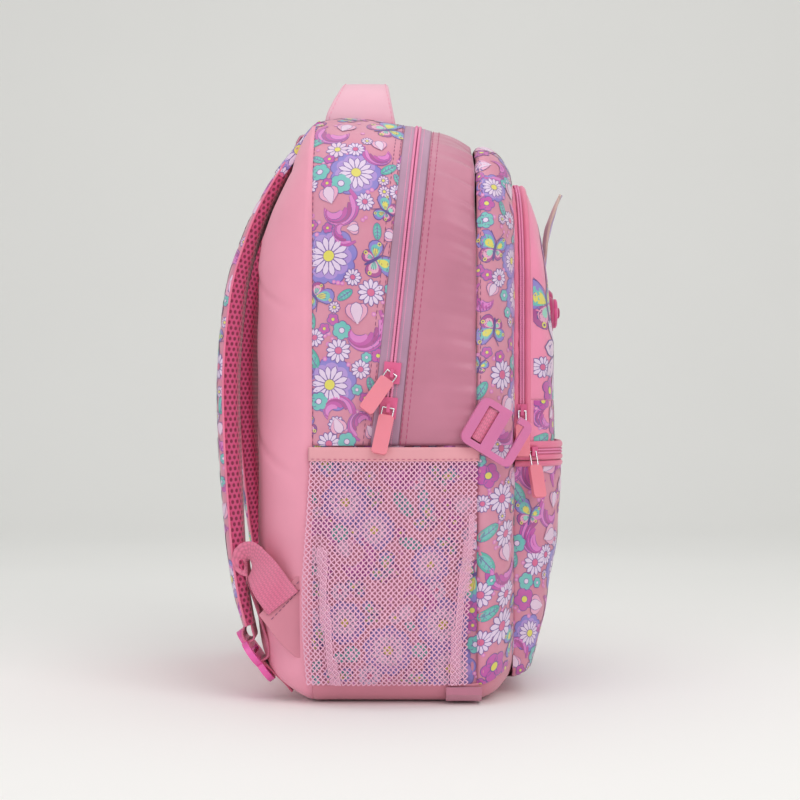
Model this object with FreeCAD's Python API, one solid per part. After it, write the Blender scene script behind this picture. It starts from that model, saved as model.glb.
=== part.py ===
"""School backpack for a child, built as separate sewn, moulded and metal pieces.

Millimetres. X runs across the back, with the wearer's left at -X. -Y is the front with the pockets,
+Y is the wearer's side with the straps, and Z is up from the floor under the base.
"""

import FreeCAD
import Part

import math
import os

# Overall body
HALF_WIDTH = 142.0
BODY_TOP = 421.0
REAR_SEAM_Y = 63.0
FRONT_SEAM_Y = -54.0
FRONT_CAP_Y = -82.0
BACK_CAP_Y = 104.0
TOP_RADIUS = 82.0
LOW_RADIUS = 24.0
WALL = 2.0
TOP_FALL = 20.0
SEAM_Z = 182.0
BASE_HEIGHT = 14.0

# Main zip, which leans towards the front as it rises
ZIP_FOOT_Y = 11.0
ZIP_LEAN = 6.04
TAPE_EDGE = 9.5
COIL_IN = 0.8
COIL_OUT = 2.8
COIL_PROUD = 1.2
TAPE_THICK = 1.0

# Folds that let the front open
LID_AXIS_Y = -28.0
LID_FOLD_DEG = 16.2
ARCH_ZIP_Y = -88.5
ARCH_FOLD_DEG = 30.5

# Front pockets
ARCH_HALF_WIDTH = 100.0
ARCH_TOP = 378.0
ARCH_FRONT_Y = -119.0
POCKET_WALL = 1.6
SLIDER_ROOM = 0.6
CORNER_X = 62.0
CORNER_Y = -77.0
CORNER_R = 43.0
POCKET_ZIP_Z = 176.8

# Mesh side pockets
MESH_THICK = 1.2
MESH_REAR_Y = 62.8
MESH_FRONT_Y = -53.0
MESH_BULGE = 21.0
BINDING_Z = 171.0

# Carrying parts
HANDLE_TOP = BODY_TOP + 37.0
HANDLE_LEG_X = 56.0
STRAP_THICK = 11.0
STRAP_FOOT_X = HALF_WIDTH - 34.0
WEB_WIDTH = 27.0
WEB_THICK = 1.6
HOOK_WEB = 25.0
HOOK_TURN = 59.0
HOOK_SWEEP = 9.0

BIG = 700.0


def vec(x, y, z):
    return FreeCAD.Vector(x, y, z)


def line(a, b):
    return Part.makeLine(a, b)


def arc(a, b, c):
    return Part.Arc(a, b, c).toShape()


def box(x0, x1, y0, y1, z0, z1):
    return Part.makeBox(x1 - x0, y1 - y0, z1 - z0, vec(x0, y0, z0))


def loft(wires):
    return Part.makeLoft(wires, True, True)


def mirrored(shape):
    return shape.mirror(vec(0, 0, 0), vec(1, 0, 0))


def joined(shapes):
    whole = shapes[0]
    for shape in shapes[1:]:
        whole = whole.fuse(shape)
    return whole.removeSplitter()


def tombstone(y, half, low, high, r_top, r_low):
    """Upright outline in an XZ plane, with wide top corners and small bottom ones."""
    k = math.sqrt(0.5)
    t, b = r_top, r_low
    p = [
        vec(-half + b, y, low),
        vec(half - b, y, low),
        vec(half - b + b * k, y, low + b - b * k),
        vec(half, y, low + b),
        vec(half, y, high - t),
        vec(half - t + t * k, y, high - t + t * k),
        vec(half - t, y, high),
        vec(-half + t, y, high),
        vec(-half + t - t * k, y, high - t + t * k),
        vec(-half, y, high - t),
        vec(-half, y, low + b),
        vec(-half + b - b * k, y, low + b - b * k),
    ]
    edges = [
        line(p[0], p[1]),
        arc(p[1], p[2], p[3]),
        line(p[3], p[4]),
        arc(p[4], p[5], p[6]),
        line(p[6], p[7]),
        arc(p[7], p[8], p[9]),
        line(p[9], p[10]),
        arc(p[10], p[11], p[0]),
    ]
    return Part.Wire(edges)


def outline_stack(rows, inset):
    """Solid through tombstone outlines. Each row is y, half width, low, high, top radius, low radius.

    An inset also draws a domed stack's rows back towards its open first row.
    """
    wires = []
    domed = abs(rows[-1][1] - rows[0][1]) > 1
    back = inset * math.copysign(1.0, rows[0][0] - rows[-1][0])
    for i, (y, half, low, high, r_top, r_low) in enumerate(rows):
        shift = back if domed and i else 0.0
        wires.append(
            tombstone(
                y + shift, half - inset, low + inset, high - inset, r_top - inset, r_low - inset
            )
        )
    return loft(wires)


TUBE_ROWS = [
    (REAR_SEAM_Y, HALF_WIDTH, 0.0, BODY_TOP - 1, TOP_RADIUS, LOW_RADIUS),
    (0.0, HALF_WIDTH, 0.0, BODY_TOP - 2, TOP_RADIUS, LOW_RADIUS),
    (-28.0, HALF_WIDTH, 0.0, BODY_TOP - 9, TOP_RADIUS, LOW_RADIUS),
    (FRONT_SEAM_Y, HALF_WIDTH, 0.0, BODY_TOP - TOP_FALL, TOP_RADIUS - 2, LOW_RADIUS),
]
FRONT_TOP = BODY_TOP - TOP_FALL
FRONT_ROWS = [
    (FRONT_SEAM_Y, HALF_WIDTH, 0.0, FRONT_TOP, TOP_RADIUS - 2, LOW_RADIUS),
    (FRONT_SEAM_Y - 12, HALF_WIDTH - 7, 3.0, FRONT_TOP - 3, TOP_RADIUS - 6, LOW_RADIUS + 2),
    (FRONT_SEAM_Y - 22, HALF_WIDTH - 22, 10.0, FRONT_TOP - 9, TOP_RADIUS - 12, LOW_RADIUS + 4),
    (FRONT_CAP_Y, HALF_WIDTH - 36, 18.0, FRONT_TOP - 17, TOP_RADIUS - 20, LOW_RADIUS + 4),
]
REAR_ROWS = [
    (REAR_SEAM_Y, HALF_WIDTH, 0.0, BODY_TOP - 1, TOP_RADIUS, LOW_RADIUS),
    (REAR_SEAM_Y + 17, HALF_WIDTH - 8, 14.0, BODY_TOP - 41, TOP_RADIUS - 6, LOW_RADIUS + 6),
    (REAR_SEAM_Y + 30, HALF_WIDTH - 26, 33.0, BODY_TOP - 71, TOP_RADIUS - 14, LOW_RADIUS + 10),
    (REAR_SEAM_Y + 37, HALF_WIDTH - 42, 56.0, BODY_TOP - 91, TOP_RADIUS - 24, LOW_RADIUS + 10),
    (BACK_CAP_Y, HALF_WIDTH - 58, 84.0, BODY_TOP - 111, TOP_RADIUS - 36, LOW_RADIUS + 6),
]
ARCH_ROWS = [
    (FRONT_CAP_Y, ARCH_HALF_WIDTH, 150.0, ARCH_TOP, 80.0, 10.0),
    (FRONT_CAP_Y - 12, ARCH_HALF_WIDTH, 150.0, ARCH_TOP, 80.0, 10.0),
    (FRONT_CAP_Y - 25, ARCH_HALF_WIDTH - 7, 150.0, ARCH_TOP - 19, 74.0, 10.0),
    (FRONT_CAP_Y - 32, ARCH_HALF_WIDTH - 17, 150.0, ARCH_TOP - 60, 60.0, 10.0),
    (ARCH_FRONT_Y, ARCH_HALF_WIDTH - 32, 150.0, ARCH_TOP - 120, 40.0, 10.0),
]


def leaning(y0, y1):
    """Slab parallel to the main zip, between two distances behind its centre line."""
    slab = box(-BIG, BIG, y0, y1, -BIG, BIG)
    slab.rotate(vec(0, 0, 0), vec(1, 0, 0), ZIP_LEAN)
    slab.translate(vec(0, ZIP_FOOT_Y, SEAM_Z))
    return slab


def above_fold(y, z, degrees):
    """Everything above a plane that rises towards the front from a line along X."""
    zone = box(-BIG, BIG, -BIG, BIG, 0, BIG)
    zone.rotate(vec(0, 0, 0), vec(1, 0, 0), -degrees)
    zone.translate(vec(0, y, z))
    return zone


LID_ZONE = above_fold(LID_AXIS_Y, SEAM_Z + 0.3, LID_FOLD_DEG).common(
    box(-BIG, BIG, -BIG, LID_AXIS_Y, -BIG, BIG)
)
LID_ZONE = LID_ZONE.fuse(box(-BIG, BIG, LID_AXIS_Y, BIG, SEAM_Z + 0.6, BIG)).removeSplitter()
ARCH_FOOT_Z = SEAM_Z + 0.3 + (LID_AXIS_Y - ARCH_ZIP_Y) * math.tan(math.radians(LID_FOLD_DEG))
FACE_ZONE = above_fold(ARCH_ZIP_Y, ARCH_FOOT_Z + 0.4, ARCH_FOLD_DEG).common(
    box(-BIG, BIG, -BIG, ARCH_ZIP_Y, -BIG, BIG)
)
ABOVE_SEAM = box(-BIG, BIG, -BIG, BIG, SEAM_Z + 0.3, BIG)


def shell(rows, inset):
    return outline_stack(rows, 0.0).cut(outline_stack(rows, inset))


def plan_d(z, half, front):
    """Plan outline of the lower pocket at one height: flat back, round corners, flat front."""
    r = CORNER_Y - front
    cx = half - CORNER_R + (CORNER_R - r)
    lead = math.asin((CORNER_Y - FRONT_CAP_Y) / r)
    mid = (lead + math.pi / 2) / 2
    a = vec(cx + r * math.cos(lead), FRONT_CAP_Y, z)
    b = vec(cx + r * math.cos(mid), CORNER_Y - r * math.sin(mid), z)
    c = vec(cx, front, z)
    edges = [
        line(vec(-a.x, a.y, z), a),
        arc(a, b, c),
        line(c, vec(-c.x, c.y, z)),
        arc(vec(-c.x, c.y, z), vec(-b.x, b.y, z), vec(-a.x, a.y, z)),
    ]
    return Part.Wire(edges)


POCKET_ROWS = [
    (13.0, 98.0, -93.0),
    (26.0, 102.0, -100.0),
    (50.0, 104.0, -105.0),
    (76.0, 105.0, -111.0),
    (108.0, 105.0, -116.0),
    (140.0, 105.0, -119.0),
    (158.0, 105.0, CORNER_Y - CORNER_R),
    (SEAM_Z, 105.0, CORNER_Y - CORNER_R),
]


def pocket_solid(inset):
    wires = []
    for z, half, front in POCKET_ROWS:
        level = min(max(z, POCKET_ROWS[0][0] + inset), SEAM_Z - inset)
        wires.append(plan_d(level, half - inset, front + inset))
    return loft(wires)


def band(z0, z1, inner, outer):
    """Band that follows the lower pocket's upright mouth, by distances out from its surface."""
    rings = []
    for out in (outer, inner):
        front = CORNER_Y - CORNER_R - out
        rings.append(
            loft([plan_d(z0, 105.0 + out, front), plan_d(z1, 105.0 + out, front)])
        )
    cutter = box(-BIG, BIG, -BIG, FRONT_CAP_Y - 3, -BIG, BIG)
    return rings[0].cut(rings[1]).common(cutter)


def strip(sections):
    """Flat strap through sections of centre, width direction, thickness direction, width, thickness."""
    wires = []
    for centre, across, out, width, thick in sections:
        w = FreeCAD.Vector(across).normalize() * (width / 2)
        t = FreeCAD.Vector(out).normalize() * (thick / 2)
        corners = [centre - w - t, centre + w - t, centre + w + t, centre - w + t]
        wires.append(Part.makePolygon(corners + [corners[0]]))
    return loft(wires)


def side_d(z, reach):
    """Plan outline of a mesh pocket at one height: flat on the side panel, bowed outwards."""
    x = -HALF_WIDTH - 0.1
    mid = (MESH_FRONT_Y + MESH_REAR_Y) / 2
    a = vec(x, MESH_FRONT_Y, z)
    c = vec(x, MESH_REAR_Y, z)
    return Part.Wire([arc(a, vec(-HALF_WIDTH - reach, mid, z), c), line(c, a)])


MESH_ROWS = [
    (BASE_HEIGHT, 4.0),
    (30.0, MESH_BULGE - 3),
    (60.0, MESH_BULGE),
    (120.0, 14.0),
    (152.0, 6.6),
    (BINDING_Z, 6.2),
]


def mesh_pocket():
    outer = loft([side_d(z, reach) for z, reach in MESH_ROWS])
    inner_rows = [(MESH_ROWS[0][0] + MESH_THICK, 2.6)] + [
        (z, reach - MESH_THICK) for z, reach in MESH_ROWS[1:]
    ]
    inner = loft([side_d(z, reach) for z, reach in inner_rows])
    return outer.cut(inner)


def binding():
    outer = loft([side_d(BINDING_Z, 6.2), side_d(BINDING_Z + 10, 6.2)])
    inner = loft([side_d(BINDING_Z, 4.6), side_d(BINDING_Z + 10, 4.6)])
    return outer.cut(inner)


def slider(width, length, gap_out, gap_in, post, bridge_turn):
    """Zip slider about the zip's centre line: Z along the zip, Y across it, -X out of the surface."""
    outer = box(-gap_out - 1.4, -gap_out, -width / 2, width / 2, -length / 2, length / 2)
    inner = box(gap_in, gap_in + 1.4, -width / 2, width / 2, -length / 2, length / 2)
    stem = box(-gap_out - 0.1, gap_in + 0.1, -post, post, -2.0, 2.0)
    bridge = box(-gap_out - 4.2, -gap_out - 1.3, -1.2, 1.2, -3.2, 3.2)
    tunnel = box(-gap_out - 3.4, -gap_out - 1.4, -2.0, 2.0, -2.0, 2.0)
    arch = bridge.cut(tunnel)
    arch.rotate(vec(0, 0, 0), vec(1, 0, 0), bridge_turn)
    return joined([outer, inner, stem, arch])


def ring(width, drop, radius):
    """Wire loop hung from the origin: round top bar along Y, two legs and a bottom bar."""
    top = Part.makeCylinder(radius, width, vec(0, -width / 2, 0), vec(0, 1, 0))
    low = Part.makeCylinder(radius, width, vec(0, -width / 2, -drop), vec(0, 1, 0))
    legs = []
    for y in (-width / 2, width / 2):
        legs.append(Part.makeCylinder(radius, drop, vec(0, y, -drop), vec(0, 0, 1)))
        for z in (0, -drop):
            legs.append(Part.makeSphere(radius, vec(0, y, z)))
    return joined([top, low] + legs)


def tag(wire, drop, width, length, thick):
    """Soft grip moulded over a wire loop's bottom bar."""
    body = box(-thick / 2, thick / 2, -width / 2, width / 2, -drop - length + 2.5, -drop + 2.5)
    upright = [e for e in body.Edges if abs(e.tangentAt(e.FirstParameter).x) > 0.9]
    return body.makeFillet(2.4, upright).cut(wire)


def placed(shape, turn_x, turn_z, where):
    copy = shape.copy()
    copy.rotate(vec(0, 0, 0), vec(1, 0, 0), turn_x)
    copy.rotate(vec(0, 0, 0), vec(0, 0, 1), turn_z)
    copy.translate(where)
    return copy


def zip_point(z):
    """Centre of the main zip on the left side at one height."""
    return vec(-HALF_WIDTH, ZIP_FOOT_Y - (z - SEAM_Z) * math.tan(math.radians(ZIP_LEAN)), z)


def shells():
    """The fabric body, divided along its seams."""
    tube = shell(TUBE_ROWS, WALL)
    front = shell(FRONT_ROWS, WALL)
    rear = shell(REAR_ROWS, WALL)
    thin = shell(TUBE_ROWS, TAPE_THICK)
    proud = outline_stack(TUBE_ROWS, -COIL_PROUD).cut(outline_stack(TUBE_ROWS, TAPE_THICK))
    arch = shell(ARCH_ROWS, POCKET_WALL)
    arch_proud = outline_stack(ARCH_ROWS, -1.0).cut(outline_stack(ARCH_ROWS, TAPE_THICK))

    below = box(-BIG, BIG, -BIG, BIG, BASE_HEIGHT, SEAM_Z)
    floor = box(-BIG, BIG, -BIG, BIG, -BIG, BASE_HEIGHT)
    ahead = leaning(-BIG, -COIL_IN)
    fold_zone = ABOVE_SEAM.cut(LID_ZONE).common(box(-BIG, BIG, -BIG, LID_AXIS_Y - 2, -BIG, BIG))
    low_tube = tube.common(below)
    parts = {}
    parts["rear_gusset"] = tube.common(leaning(TAPE_EDGE, BIG)).common(ABOVE_SEAM)
    parts["rear_zip_tape"] = thin.common(leaning(COIL_OUT, TAPE_EDGE)).common(ABOVE_SEAM)
    parts["rear_zip_coil"] = proud.common(leaning(COIL_IN, COIL_OUT)).common(ABOVE_SEAM)
    parts["front_zip_coil"] = proud.common(leaning(-COIL_OUT, -COIL_IN)).common(LID_ZONE)
    parts["front_zip_tape"] = thin.common(leaning(-TAPE_EDGE, -COIL_OUT)).common(LID_ZONE)
    parts["front_gusset"] = tube.common(leaning(-BIG, -TAPE_EDGE)).common(LID_ZONE)
    parts["front_panel_upper"] = front.common(LID_ZONE)
    parts["front_panel_lower"] = front.common(below)
    parts["side_panel_left"] = low_tube.common(box(-BIG, -100, -BIG, BIG, -BIG, BIG))
    parts["side_panel_right"] = mirrored(parts["side_panel_left"])
    parts["base_panel"] = joined([tube.common(floor), front.common(floor), rear.common(floor)])
    parts["back_panel"] = rear.cut(floor)
    band_behind = box(-BIG, BIG, ARCH_ZIP_Y + COIL_OUT - 0.4, BIG, -BIG, BIG)
    band_face = box(-BIG, BIG, -BIG, ARCH_ZIP_Y - COIL_OUT + 0.4, -BIG, BIG)
    rear_strand = box(-BIG, BIG, ARCH_ZIP_Y + COIL_IN, ARCH_ZIP_Y + COIL_OUT - 0.4, -BIG, BIG)
    face_strand = box(-BIG, BIG, ARCH_ZIP_Y - COIL_OUT + 0.4, ARCH_ZIP_Y - COIL_IN, -BIG, BIG)
    parts["arch_gusset"] = arch.common(band_behind).common(LID_ZONE)
    parts["arch_coil_rear"] = arch_proud.common(rear_strand).common(LID_ZONE)
    parts["arch_coil_face"] = arch_proud.common(face_strand).common(FACE_ZONE)
    parts["arch_face"] = arch.common(band_face).common(FACE_ZONE)
    parts["arch_fold"] = arch.common(band_face).common(LID_ZONE).cut(FACE_ZONE)
    folds = [
        tube.common(ahead).common(fold_zone),
        front.common(fold_zone),
        arch.common(fold_zone),
    ]
    parts["front_fold"] = joined(folds)
    return parts


def backing():
    """Foam and lining behind the padded back, the stiff base board and the inner divider."""
    cavity = outline_stack(REAR_ROWS, WALL + 0.3)
    foam = cavity.common(box(-BIG, BIG, REAR_SEAM_Y + 3.5, BIG, BASE_HEIGHT + 2, BIG))
    lining = cavity.common(box(-BIG, BIG, REAR_SEAM_Y + 0.6, REAR_SEAM_Y + 3.2, BASE_HEIGHT + 2, BIG))
    board_rows = [(y, h, lo, hi, rt, rl) for y, h, lo, hi, rt, rl in TUBE_ROWS]
    inside = outline_stack(board_rows, WALL + 0.4)
    board = inside.common(box(-BIG, BIG, FRONT_SEAM_Y + 2, REAR_SEAM_Y - 1, -BIG, WALL + 2.9))
    sheet = inside.common(box(-BIG, BIG, 46.0, 47.6, WALL + 6, 300.0))
    return {"back_foam": foam, "back_lining": lining, "base_board": board, "divider": sheet}


def lower_pocket():
    body = pocket_solid(0.0).cut(pocket_solid(POCKET_WALL).fuse(
        box(-100, 100, FRONT_CAP_Y - POCKET_WALL, FRONT_CAP_Y + 1, 16, SEAM_Z - POCKET_WALL)
    ))
    body = body.cut(outline_stack(FRONT_ROWS, 0.0))
    slit = band(POCKET_ZIP_Z - 2.6, POCKET_ZIP_Z + 2.6, -POCKET_WALL - 1, 1.0)
    welts = []
    for z in (POCKET_ZIP_Z + 3.1, POCKET_ZIP_Z - 5.0, POCKET_ZIP_Z - 10.6):
        welts.append(band(z, z + 2.0, 0.0, 1.3))
    upper = band(POCKET_ZIP_Z + 0.7, POCKET_ZIP_Z + 2.6, -1.0, 1.0)
    lower = band(POCKET_ZIP_Z - 2.6, POCKET_ZIP_Z - 0.7, -1.0, 1.0)
    return {
        "lower_pocket": body.cut(slit),
        "pocket_welts": Part.makeCompound(welts),
        "pocket_coils": Part.makeCompound([upper, lower]),
    }


def strap():
    """Padded shoulder strap, from its outer face's profile in the YZ plane.

    Each row is y, z, how far its middle lies inwards of the strap's foot, width and thickness.
    """
    rows = [
        (86.0, 389.5, 46, 56, 8.0),
        (97.0, 373.0, 44, 60, 8.5),
        (109.0, 352.0, 41, 64, 9.5),
        (119.0, 329.0, 38, 66, 10.5),
        (126.0, 308.0, 35, 66, STRAP_THICK),
        (132.0, 268.0, 29, 66, STRAP_THICK),
        (134.0, 228.0, 23, 66, STRAP_THICK),
        (132.5, 185.0, 17, 64, STRAP_THICK),
        (129.0, 142.0, 11, 60, STRAP_THICK),
        (124.0, 99.0, 5, 54, 10.5),
        (119.0, 72.0, 2, 48, 9.0),
        (114.5, 56.0, 0, 42, 7.0),
    ]
    sections = []
    for i, (y, z, inward, width, thick) in enumerate(rows):
        before = rows[max(i - 1, 0)]
        after = rows[min(i + 1, len(rows) - 1)]
        dy, dz = after[0] - before[0], after[1] - before[1]
        out = vec(0, -dz, dy).normalize()
        centre = vec(inward - STRAP_FOOT_X, y, z) - out * (thick / 2)
        sections.append((centre, vec(1, 0, 0), out, width, thick))
    return strip(sections)


def adjuster():
    """Webbing from the wing tab, over in an arch, down to the ladder lock; X from the strap's foot."""
    path = [
        (vec(-32.0, 84.0, 74.0), vec(0, 0.73, -0.68), vec(1, 0, 0)),
        (vec(-32.0, 92.0, 84.0), vec(0.1, 0.73, -0.66), vec(1, 0, 0)),
        (vec(-29.5, 98.0, 92.0), vec(0.45, 0.68, -0.55), vec(0.8, -0.4, 0.2)),
        (vec(-22.0, 100.5, 96.0), vec(0.8, 0.45, -0.3), vec(-0.2, 0.6, 0.8)),
        (vec(-14.0, 105.5, 97.0), vec(1, 0.1, -0.1), vec(0, 0.4, 0.9)),
        (vec(-7.0, 108.3, 90.0), vec(1, 0, 0), vec(0, 1, 0)),
        (vec(-2.0, 106.5, 78.0), vec(1, 0, 0), vec(0, 1, -0.2)),
        (vec(0.0, 103.5, 64.0), vec(1, 0, 0), vec(0, 1, -0.25)),
        (vec(0.0, 100.3, 50.0), vec(1, 0, 0), vec(0, 1, -0.25)),
        (vec(0.0, 97.6, 38.0), vec(1, 0, 0), vec(0, 1, -0.2)),
    ]
    foot = vec(-STRAP_FOOT_X, 0, 0)
    return strip([(c + foot, w, t, WEB_WIDTH, WEB_THICK) for c, w, t in path])


def flower_lock():
    """Five-petalled ladder lock in its own XZ plane, centred on the origin, with two slots."""
    petals = [Part.makeCylinder(13.0, 4.4, vec(0, -2.2, 0), vec(0, 1, 0))]
    for i in range(5):
        a = math.radians(90 + 72 * i)
        at = vec(12.0 * math.cos(a), -2.2, 12.0 * math.sin(a))
        petals.append(Part.makeCylinder(10.5, 4.4, at, vec(0, 1, 0)))
    plate = joined(petals)
    for z in (-6.5, 5.0):
        plate = plate.cut(box(-WEB_WIDTH / 2 - 0.6, WEB_WIDTH / 2 + 0.6, -5, 5, z - 2.3, z + 2.3))
    return plate


def hook_buckle():
    """Two-slot hook buckle in its own YZ plane: a frame, a middle bar and a gap into the outer slot."""
    plate = box(-2.4, 2.4, -18.0, 18.0, -21.0, 21.0)
    upright = [e for e in plate.Edges if abs(e.tangentAt(e.FirstParameter).x) > 0.9]
    plate = plate.makeFillet(6.0, upright)
    half = HOOK_WEB / 2 + 0.8
    plate = plate.cut(box(-5, 5, -half, half, 5.5, 14.0))
    plate = plate.cut(box(-5, 5, -half, half, -15.0, -3.0))
    return plate.cut(box(-5, 5, -25.0, -half + 1.0, -9.5, -3.0))


def carrying():
    parts = {}
    handle_rows = [
        (-HANDLE_LEG_X, BODY_TOP + 3.4, 44.0),
        (-50.0, BODY_TOP + 13.0, 40.0),
        (-36.0, BODY_TOP + 26.0, 35.0),
        (-12.0, HANDLE_TOP - 2.4, 33.0),
        (12.0, HANDLE_TOP - 2.4, 33.0),
        (36.0, BODY_TOP + 26.0, 35.0),
        (50.0, BODY_TOP + 13.0, 40.0),
        (HANDLE_LEG_X, BODY_TOP + 3.4, 44.0),
    ]
    sections = []
    for i, (x, z, width) in enumerate(handle_rows):
        before = handle_rows[max(i - 1, 0)]
        after = handle_rows[min(i + 1, len(handle_rows) - 1)]
        out = vec(-(after[1] - before[1]), 0, after[0] - before[0])
        sections.append((vec(x, 28.0, z), vec(0, 1, 0), out, width, 4.6))
    bag = outline_stack(TUBE_ROWS, -0.05)
    parts["grab_handle"] = strip(sections).cut(bag)

    over = outline_stack(REAR_ROWS, -3.2).cut(outline_stack(REAR_ROWS, 0.0))
    yoke = over.common(box(-STRAP_FOOT_X, STRAP_FOOT_X, REAR_SEAM_Y + 1.0, BIG, 393.5, 416.0))
    parts["strap_yoke"] = yoke

    left_strap = strap()
    wing_x = 3.2 - HALF_WIDTH
    prism = Part.makePolygon(
        [
            vec(wing_x, 62.0, 90.0),
            vec(wing_x, 72.0, 89.0),
            vec(wing_x, 100.0, 63.0),
            vec(wing_x, 83.0, 41.0),
            vec(wing_x, 74.0, 33.0),
            vec(wing_x, 62.0, 33.0),
            vec(wing_x, 62.0, 90.0),
        ]
    )
    wing = Part.Face(prism).extrude(vec(2.6, 0, 0))
    rear_solid = outline_stack(REAR_ROWS, -0.05)
    tube_solid = outline_stack(TUBE_ROWS, -0.05)
    wing = wing.cut(rear_solid).cut(tube_solid)
    lock = flower_lock()
    lock.rotate(vec(0, 0, 0), vec(1, 0, 0), -36.0)
    lock.translate(vec(-STRAP_FOOT_X, 103.0, 29.5))
    tail = strip(
        [
            (vec(-STRAP_FOOT_X, 94.0, 23.0), vec(1, 0, 0), vec(0, 0.6, -0.8), WEB_WIDTH, WEB_THICK),
            (vec(-STRAP_FOOT_X, 86.0, 15.5), vec(1, 0, 0), vec(0, 0.68, -0.73), WEB_WIDTH, WEB_THICK),
            (vec(-STRAP_FOOT_X, 77.5, 6.5), vec(1, 0, 0), vec(0, 0.72, -0.69), WEB_WIDTH, WEB_THICK),
        ]
    )
    left = {
        "strap_left": left_strap,
        "wing_tab_left": wing,
        "adjuster_webbing_left": adjuster(),
        "flower_lock_left": lock,
        "webbing_tail_left": tail,
    }
    for name, shape in left.items():
        parts[name] = shape
        parts[name.replace("left", "right")] = mirrored(shape)
    return parts


def lash_parts():
    """Hook buckles with their tabs in the front seams, and the folded loops under the base."""
    at = vec(-HALF_WIDTH - 5.2, -59.0, 196.5)
    path = [(4.6, 6.0), (4.2, 3.5), (2.4, 0.2), (0.4, -1.6)]
    sections = []
    for i, (x, z) in enumerate(path):
        before, after = path[max(i - 1, 0)], path[min(i + 1, len(path) - 1)]
        out = vec(-(after[1] - before[1]), 0, after[0] - before[0])
        sections.append((vec(x, 0, z), vec(0, 1, 0), out, HOOK_WEB, WEB_THICK))
    hook = hook_buckle()
    hook.translate(vec(0, 0, -9.75))
    hook = placed(hook, -HOOK_TURN, HOOK_SWEEP, at)
    tab = placed(strip(sections), -HOOK_TURN, HOOK_SWEEP, at)
    tab = tab.cut(outline_stack(TUBE_ROWS, -0.05)).cut(outline_stack(FRONT_ROWS, -0.05))
    loop = strip(
        [
            (vec(15.0 - HALF_WIDTH, -45.0, 1.5), vec(0, 1, 0), vec(0.2, 0, 1), HOOK_WEB, 2.2),
            (vec(7.0 - HALF_WIDTH, -45.0, 2.6), vec(0, 1, 0), vec(0.35, 0, 1), HOOK_WEB, 2.2),
            (vec(0.5 - HALF_WIDTH, -45.0, 7.5), vec(0, 1, 0), vec(0.9, 0, 0.6), HOOK_WEB, 2.2),
            (vec(-1.6 - HALF_WIDTH, -45.0, 12.5), vec(0, 1, 0), vec(1, 0, 0.1), HOOK_WEB, 2.2),
        ]
    )
    loop = loop.cut(outline_stack(TUBE_ROWS, -0.05)).cut(outline_stack(FRONT_ROWS, -0.05))
    loop = loop.common(box(-BIG, BIG, -BIG, BIG, 0.3, BIG))
    return {
        "hook_buckle_left": hook,
        "hook_buckle_right": mirrored(hook),
        "hook_tabs": Part.makeCompound([tab, mirrored(tab)]),
        "base_loops": Part.makeCompound([loop, mirrored(loop)]),
    }


def pullers():
    """Zip sliders with their wire loops and soft grips."""
    parts = {}
    main = slider(12.0, 15.0, 1.7, 1.5, 0.4, 0.0)
    wire = ring(8.0, 8.0, 0.6)
    grip = tag(wire, 8.0, 11.0, 28.0, 3.6)
    for name, z, swing in (("upper", 233.0, 35.0), ("lower", 208.5, 12.0)):
        at = zip_point(z)
        parts[name + "_slider"] = placed(main, ZIP_LEAN, 0, at)
        pivot = at + vec(-4.1, 0, 0)
        lean = Part.makeCompound([wire, grip])
        lean.rotate(vec(0, 0, 0), vec(0, 1, 0), 14.0)
        lean.rotate(vec(0, 0, 0), vec(1, 0, 0), swing)
        lean.translate(pivot)
        parts[name + "_ring"] = lean.SubShapes[0]
        parts[name + "_tag"] = lean.SubShapes[1]

    small = slider(7.0, 10.0, 1.5, POCKET_WALL + SLIDER_ROOM, 0.35, 0.0)
    small_ring = ring(5.2, 13.0, 0.6)
    small_tag = tag(small_ring, 13.0, 10.0, 24.0, 3.6)
    arch_at = vec(-ARCH_HALF_WIDTH, ARCH_ZIP_Y, 206.0)
    pocket_turn = 24.0
    a = math.radians(pocket_turn)
    pocket_at = vec(
        -CORNER_X - CORNER_R * math.cos(a), CORNER_Y - CORNER_R * math.sin(a), POCKET_ZIP_Z
    )
    arch_slider = placed(small, 0, 0, arch_at)
    parts["arch_slider"] = arch_slider
    parts["pocket_slider"] = placed(
        slider(7.0, 10.0, 1.5, POCKET_WALL + SLIDER_ROOM, 0.35, -90.0), 90.0, pocket_turn, pocket_at
    )
    hang = Part.makeCompound([small_ring, small_tag])
    hang.rotate(vec(0, 0, 0), vec(0, 1, 0), 18.0)
    for name, at, turn in (("arch", arch_at, 0.0), ("pocket", pocket_at, pocket_turn)):
        pair = hang.copy()
        pair.translate(vec(-3.9, 0, 0))
        pair.rotate(vec(0, 0, 0), vec(0, 0, 1), turn)
        pair.translate(at)
        parts[name + "_ring"] = pair.SubShapes[0]
        parts[name + "_tag"] = pair.SubShapes[1]
    return parts


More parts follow.
